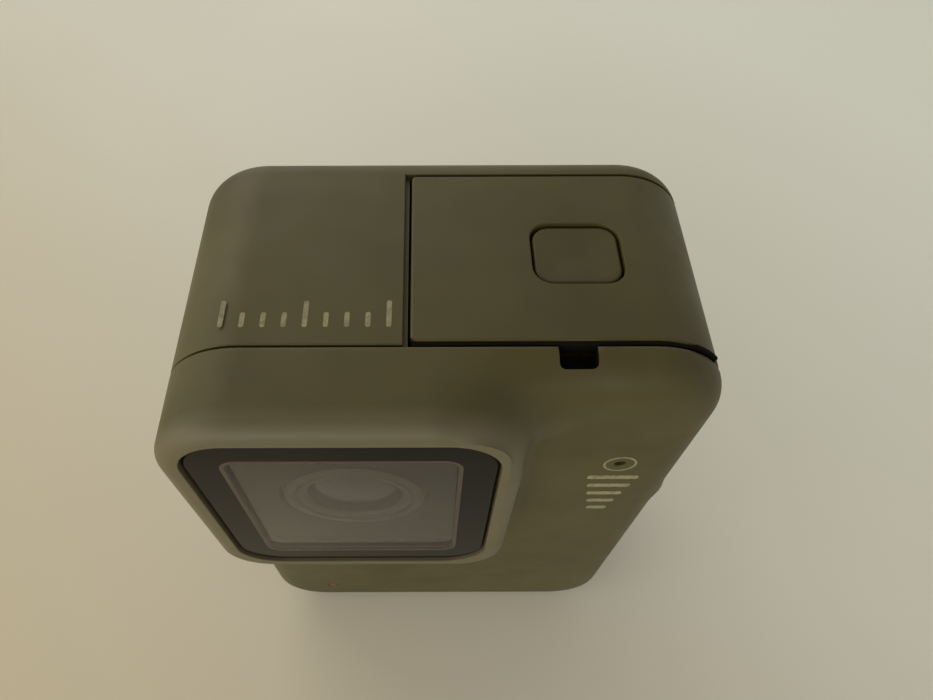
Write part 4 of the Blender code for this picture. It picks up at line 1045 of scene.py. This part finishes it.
def makeLensFront():
    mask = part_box("lens_mask")
    near, far = mask[0].y, mask[1].y

    def plate(inset):
        return roundedLoop((mask[0].x + inset, mask[0].z + inset), (mask[1].x - inset, mask[1].z - inset),
                           lens["maskR"], 12)

    loops = rolledLevels(plate, near, far, lens["maskRoll"], 0, 3)
    piece = loftPiece("lensMask", loops, flatFront, maskPaint)
    bevel = lens["maskBevel"]
    hole = roundLoop(lens["axis"], lens["barrelR"] + lens["maskPlay"], 96)
    wide = roundLoop(lens["axis"], lens["barrelR"] + lens["maskPlay"] + 2 * bevel, 96)
    carve(piece, [[(wide, near - bevel), (hole, near + bevel), (hole, far + 1 * mm)]], flatFront)
    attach(piece, "case")
    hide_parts("lens_mask")
    for name, profile, node in (("lensBarrel", lens["barrel"], "lens_barrel"),
                                ("retainingRing", lens["retainer"], "lens_retaining_ring")):
        made = turnedPiece(name, profile, nylon, ring=True)
        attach(made, "case")
        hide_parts(node)
    # the front element is a shallow dome on a short cylinder; its middle starts a hair off the axis
    dome, rise, front = lens["domeR"], lens["domeRise"], lens["domeFront"]
    profile = [(max(dome * math.sin(math.radians(a)), 0.02), front + rise * (1 - math.cos(math.radians(a))))
               for a in range(1, 91, 6)]
    profile += [(dome, front + rise), (dome, lens["domeBack"])]
    made = turnedPiece("frontElement", profile, opticalGlass)
    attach(made, "case")
    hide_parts("front_element")


makeCoverGlass()
makeLensFront()
print("lens window made")


def makeButton(name, node, body, at, size, face, inward, place):
    def shape(inset):
        return pillLoop(at, size["wide"], size["tall"], -inset)

    flange, foot = face + inward * (case["wall"] + buttons["flangePlay"]), shape(-buttons["flange"])
    loops = rolledLevels(shape, face + inward * buttons["sunk"], flange, buttons["roll"], 0, 5)
    loops += [(foot, flange), (foot, flange + inward * buttons["flangeThick"])]
    # a raised rib round the cap, so a finger finds it
    crown = [(shape(inset), face + inward * (buttons["sunk"] + down)) for inset, down in buttons["rib"]]
    piece = loftPiece(name, crown + loops, place, shellCoat)
    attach(piece, body)
    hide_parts(node)


makeButton("shutterCap", "shutter_button", "shutter", shutterAt, buttons["shutter"], left, 1, flatSide)
makeButton("modeCap", "mode_button", "mode", modeAt, buttons["mode"], 0.0, 1, flatTop)


def makeTouchGlass():
    low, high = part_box("touch_glass")
    box = ((low.x, low.z), (high.x, high.z))

    def plate(inset):
        return roundedLoop(*grow(box, -inset), rear["glassR"] - inset, 16)

    loops = rolledLevels(plate, high.y, low.y, *rear["glassRoll"], 4)
    piece = loftPiece("touchGlass", loops, flatFront, glass)
    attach(piece, "case")
    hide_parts("touch_glass")
    # the border is a film of ink across the back of the glass, open over the picture
    panelLow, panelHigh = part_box("lcd_panel")
    shown = grow(((panelLow.x, panelLow.z), (panelHigh.x, panelHigh.z)), -rear["pictureIn"])
    near, far = low.y - rear["ink"][0], low.y + rear["ink"][1]
    outer, inner = plate(rear["inkIn"]), roundedLoop(*shown, rear["pictureR"], 16)
    loops = [(outer, near), (outer, far), (inner, far), (inner, near)]
    ink = loftPiece("screenBorder", loops, flatFront, borderInk, ring=True)
    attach(ink, "case")


makeTouchGlass()


def makeGrille():
    low, high = grille["box"]

    def plate(inset):
        return pillLoop(grilleAt, grille["wide"], grille["tall"], -inset)

    piece = loftPiece("speakerGrille", rolledLevels(plate, high.x, low.x, 0.1 * mm, 0, 3), flatSide, nylon)
    slots = []
    for row in range(grille["slots"]):
        at = (grilleAt[0], grilleAt[1] + (row - (grille["slots"] - 1) / 2) * grille["pitch"])
        slot = pillLoop(at, grille["wide"] * 0.6, grille["slotTall"])
        slots.append([(slot, low.x - 1 * mm), (slot, high.x + 1 * mm)])
    carve(piece, slots, flatSide)
    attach(piece, "case")
    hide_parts("speaker_grille")


makeGrille()
print("buttons, screen and speaker made")


sockets = {
    "usbWall": 0.35 * mm,
    "usbBevel": 0.12 * mm,
    "cardR": (0.25 * mm, 0.25 * mm, 0.2 * mm, 0.2 * mm),
    "cardRoll": 0.1 * mm,
    "grip": {"wide": 8.0 * mm, "deep": 0.3 * mm, "from": 0.9 * mm, "to": 0.4 * mm},
}


def makeUsbShell():
    near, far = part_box("usb_socket")
    box = ((near.x, near.y), (far.x, far.y))
    r = (far.y - near.y) / 2 * 0.98
    wall, bevel = sockets["usbWall"], sockets["usbBevel"]

    def ringLoop(inset):
        return roundedLoop(*grow(box, -inset), r - inset, 16)

    loops = [(ringLoop(0), far.z - 0.1 * mm), (ringLoop(0), near.z), (ringLoop(wall), near.z),
             (ringLoop(wall), far.z - bevel), (ringLoop(wall - 0.1 * mm), far.z),
             (ringLoop(0.08 * mm), far.z)]
    shell = loftPiece("usbShell", loops, flatTop, steel, ring=True)
    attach(shell, "case")
    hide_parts("usb_socket")


def makeCard():
    low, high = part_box("memory_card")
    roll, grip = sockets["cardRoll"], sockets["grip"]

    def plate(inset):
        return roundedLoop((low.x + inset, low.y + inset), (high.x - inset, high.y - inset),
                           sockets["cardR"], 4)

    piece = loftPiece("memoryCard", rolledLevels(plate, high.z, low.z, roll, roll, 3), flatTop, nylon)
    groove = pillLoop(((low.x + high.x) / 2, low.y), grip["wide"], grip["deep"])
    carve(piece, [[(groove, high.z - grip["from"]), (groove, high.z - grip["to"])]], flatTop)
    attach(piece, "card")
    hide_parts("memory_card")


makeUsbShell()
makeCard()
print("sockets and card made")


marks = {
    "lift": 0.012 * mm,
    "sunk": 0.02 * mm,
    "left": left + 5.2 * mm,
    "right": left + 18.1 * mm,
    "low": seamY + 1.7 * mm,
    "ticks": 9,
    "tickTall": (2.5 * mm, 1.4 * mm),  # every fourth one, and the rest
    "tickHalf": 0.2 * mm,
    "tickR": 0.18 * mm,
    "ringR": (1.5 * mm, 1.28 * mm),
    "bars": 5,
    "barFirst": 3.0 * mm,
    "barPitch": 1.95 * mm,
    "barHalf": 2.4 * mm,
    "barLess": 0.35 * mm,  # each bar is shorter than the one above it
    "barTall": 0.4 * mm,
    "barR": 0.3 * mm,
}


def makePanelTicks():
    # plain graduated ticks on the panel: no letters and no numbers
    bm = bmesh.new()
    step = (marks["right"] - marks["left"]) / (marks["ticks"] - 1)
    half, foot = marks["tickHalf"], marks["low"]
    for number in range(marks["ticks"]):
        x = marks["left"] + step * number
        tall = marks["tickTall"][0 if number % 4 == 0 else 1]
        loop = roundedLoop((x - half, foot), (x + half, foot + tall), marks["tickR"], 4)
        loft(bm, [(loop, top - marks["sunk"]), (loop, top + marks["lift"])], flatTop)
    piece = meshPiece("panelTicks", bm, printInk)
    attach(piece, "case")


def makeSoundMark():
    # a thin ring round the microphone, and bars that shorten below it
    bm = bmesh.new()
    at, face = holes["mic"], case["faceY"]
    under, over = face + marks["sunk"], face - marks["lift"]
    outer, inner = (roundLoop(at, radius, 48) for radius in marks["ringR"])
    loft(bm, [(outer, under), (outer, over), (inner, over), (inner, under)], flatFront, ring=True)
    for number in range(marks["bars"]):
        z = at[1] - marks["barFirst"] - marks["barPitch"] * number
        half, tall = marks["barHalf"] - marks["barLess"] * number, marks["barTall"]
        loop = roundedLoop((at[0] - half, z - tall), (at[0] + half, z + tall), marks["barR"], 6)
        loft(bm, [(loop, under), (loop, over)], flatFront)
    piece = meshPiece("soundMark", bm, printInk)
    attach(piece, "case")


makePanelTicks()
makeSoundMark()
print("printed marks made")


def dress(look, *names):
    # gives the pieces kept from the frame their finish
    for name in names:
        piece = nodes[name]
        for slot in range(max(1, len(piece.material_slots))):
            if not piece.material_slots:
                piece.data.materials.append(look)
            piece.material_slots[slot].link = "OBJECT"
            piece.material_slots[slot].material = look


dress(castMetal("blackenedSteel", "#3a3a3b"), "hinge_arm")
dress(steel, "hinge_pin", "latch_spring", "card_socket", "front_microphone", "shutter_switch",
      "mode_switch", "board_screw_1", "board_screw_2", "case_screw_1", "case_screw_2", "case_screw_3",
      "case_screw_4", "lens_screw_1", "lens_screw_2")
dress(nylon, "lens_holder", "usb_tongue", "door_liner", "speaker", "processor")
dress(rubber, "cover_seal", "door_seal", "shutter_seal", "mode_seal")
dress(boardLook, "sensor_board", "port_board", "main_board")
dress(opticalGlass, "middle_element", "rear_element", "image_sensor")
dress(castMetal("dieCastMagnesium", "#8f8f91"), "chassis")
dress(castMetal("stampedAluminium", "#c2c3c6"), "heat_spreader")
dress(insidePiece("polyimideFlex", "#a8642a", "#8a4f1f", 0.4), "antenna", "sensor_flex")
dress(insidePiece("laminatedCellWrap", "#9a9ba0", "#85868b", 0.35), "battery")
dress(insidePiece("liquidCrystalPanel", "#0b0d10", "#07080a", 0.18), "lcd_panel")
dress(insidePiece("diffuserFilm", "#d8d8d4", "#c8c8c4", 0.5), "display_backlight")
dress(insidePiece("infraredFilter", "#4a7f86", "#3b6b72", 0.06), "ir_filter")
dress(insidePiece("tintedLightPipe", "#7d1f16", "#5e150f", 0.25), "status_light")
print("inside pieces finished")


stage = {
    "floor": "#dad7cb",
    "sky": "#f5ecdb",
    "horizon": 1.05,
    "zenith": 0.32,
    "leftSky": 1.15,
    "rightSky": 0.6,
    "half": 1.2,
    "drop": 0.02 * mm,  # keeps the board and the camera's side from lying in one plane
    "bend": 0.5,  # where the board starts to curve up behind
    "curve": 0.5,
    # each light's place, size in metres, watts and colour
    "aim": (0.0, 0.0, 0.03),
    "lights": {
        "windowLight": ((-0.35, 0.65, 0.5), (0.8, 0.5), 1.75, "#fff5e0"),
        "deskLight": ((-0.2, -0.06, 0.13), (0.16, 0.16), 0.09, "#fff0d0"),
        "fillLight": ((-0.3, -0.6, 0.16), (0.6, 0.2), 1.3, "#fff8ea"),
    },
    "camera": (-0.00153, -0.03544, 0.10600),
    "pitch": 57.06,
    "roll": -0.18,
    "lens": 27.01,
    "shift": 0.0435,
}


# painted board for the table: a dry off-white with no pattern
def paintedBoard():
    material, shader = newMaterial("mattEmulsion", stage["floor"], 0.6)
    grainedSurface(material, shader, ("#d7d4c7", stage["floor"], "#dddacf"), (0.5, 0.65),
                   {"drift": 120.0, "smudge": 60.0, "pit": 1.5, "strength": 0.02, "depth": 0.02})
    # painted light and shade: the board darker and warmer towards the front-left, lighter and cooler towards
    # the back-right, where more light falls
    where = addNode(material, "ShaderNodeTexCoord")
    parts = addNode(material, "ShaderNodeSeparateXYZ", None, {"Vector": (where, "Object")})
    along = addNode(material, "ShaderNodeMath", {"operation": "ADD"}, {0: (parts, "X"), 1: (parts, "Y")})
    paintedLightSweep = addNode(material, "ShaderNodeMapRange",
                   {"From Min": -0.1, "From Max": 0.2, "To Min": 0.0, "To Max": 1.0}, {"Value": (along, 0)})
    shade = colourRamp(material, paintedLightSweep, "Result", [(0.0, "#cdc4ae"), (0.5, "#e6e8e2"), (1.0, "#f6fcfa")])
    link(material, shade, "Color", shader, "Base Color")
    return material


def makeStage():
    bm = bmesh.new()
    half, bend, curve, drop = stage["half"], stage["bend"], stage["curve"], stage["drop"]
    rows = []
    outline = [(-half, -drop), (bend, -drop)]
    outline += [(bend + curve * math.sin(math.radians(a)), curve * (1 - math.cos(math.radians(a))) - drop)
                for a in range(6, 91, 6)]
    outline.append((bend + curve, 2 * curve))
    for y, z in outline:
        rows.append([bm.verts.new((x, y, z)) for x in (-half, half)])
    for near, far in zip(rows, rows[1:]):
        bm.faces.new((near[0], near[1], far[1], far[0]))
    floor = meshPiece("floor", bm, paintedBoard())


makeStage()


def softLight(name, at, size, power, shade):
    data = bpy.data.lights.new(name, "AREA")
    data.shape = "RECTANGLE"
    data.size, data.size_y = size
    data.energy = power
    data.color = linearColour(shade)[:3]
    lamp = bpy.data.objects.new(name, data)
    lamp.location = at
    lamp.visible_camera = False
    lamp.rotation_euler = (Vector(stage["aim"]) - Vector(at)).to_track_quat("-Z", "Y").to_euler()
    bpy.context.scene.collection.objects.link(lamp)


def makeLights():
    for name, (at, size, power, shade) in stage["lights"].items():
        softLight(name, at, size, power, shade)
    world = bpy.data.worlds.new("room")
    bpy.context.scene.world = world
    world.use_nodes = True
    back = world.node_tree.nodes["Background"]
    back.inputs["Color"].default_value = linearColour(stage["sky"])
    where = addNode(world, "ShaderNodeTexCoord")
    parts = addNode(world, "ShaderNodeSeparateXYZ", None, {"Vector": (where, "Generated")})
    fall = addNode(world, "ShaderNodeMapRange",
                   {"From Min": 0.0, "From Max": 1.0, "To Min": stage["horizon"], "To Max": stage["zenith"]},
                   {"Value": (parts, "Z")})
    across = addNode(world, "ShaderNodeMapRange",
                     {"From Min": -1.0, "From Max": 1.0,
                      "To Min": stage["leftSky"], "To Max": stage["rightSky"]},
                     {"Value": (parts, "X")})
    both = addNode(world, "ShaderNodeMath", {"operation": "MULTIPLY"},
                   {0: (fall, "Result"), 1: (across, "Result")})
    world.node_tree.links.new(both.outputs[0], back.inputs["Strength"])


makeLights()


def makeCamera():
    data = bpy.data.cameras.new("camera")
    data.sensor_width = 36
    data.lens = stage["lens"]
    data.shift_x = stage["shift"]
    data.clip_start = 0.001
    data.clip_end = 10
    camera = bpy.data.objects.new("camera", data)
    camera.location = stage["camera"]
    look = Euler((math.radians(90 - stage["pitch"]), 0, 0)).to_matrix()
    turn = Euler((0, 0, math.radians(stage["roll"]))).to_matrix()
    camera.rotation_euler = (look @ turn).to_euler()
    bpy.context.scene.collection.objects.link(camera)
    bpy.context.scene.camera = camera


makeCamera()
print("stage, lights and camera made")
bpy.context.scene.view_settings.view_transform = "Standard"

print("scene ready")
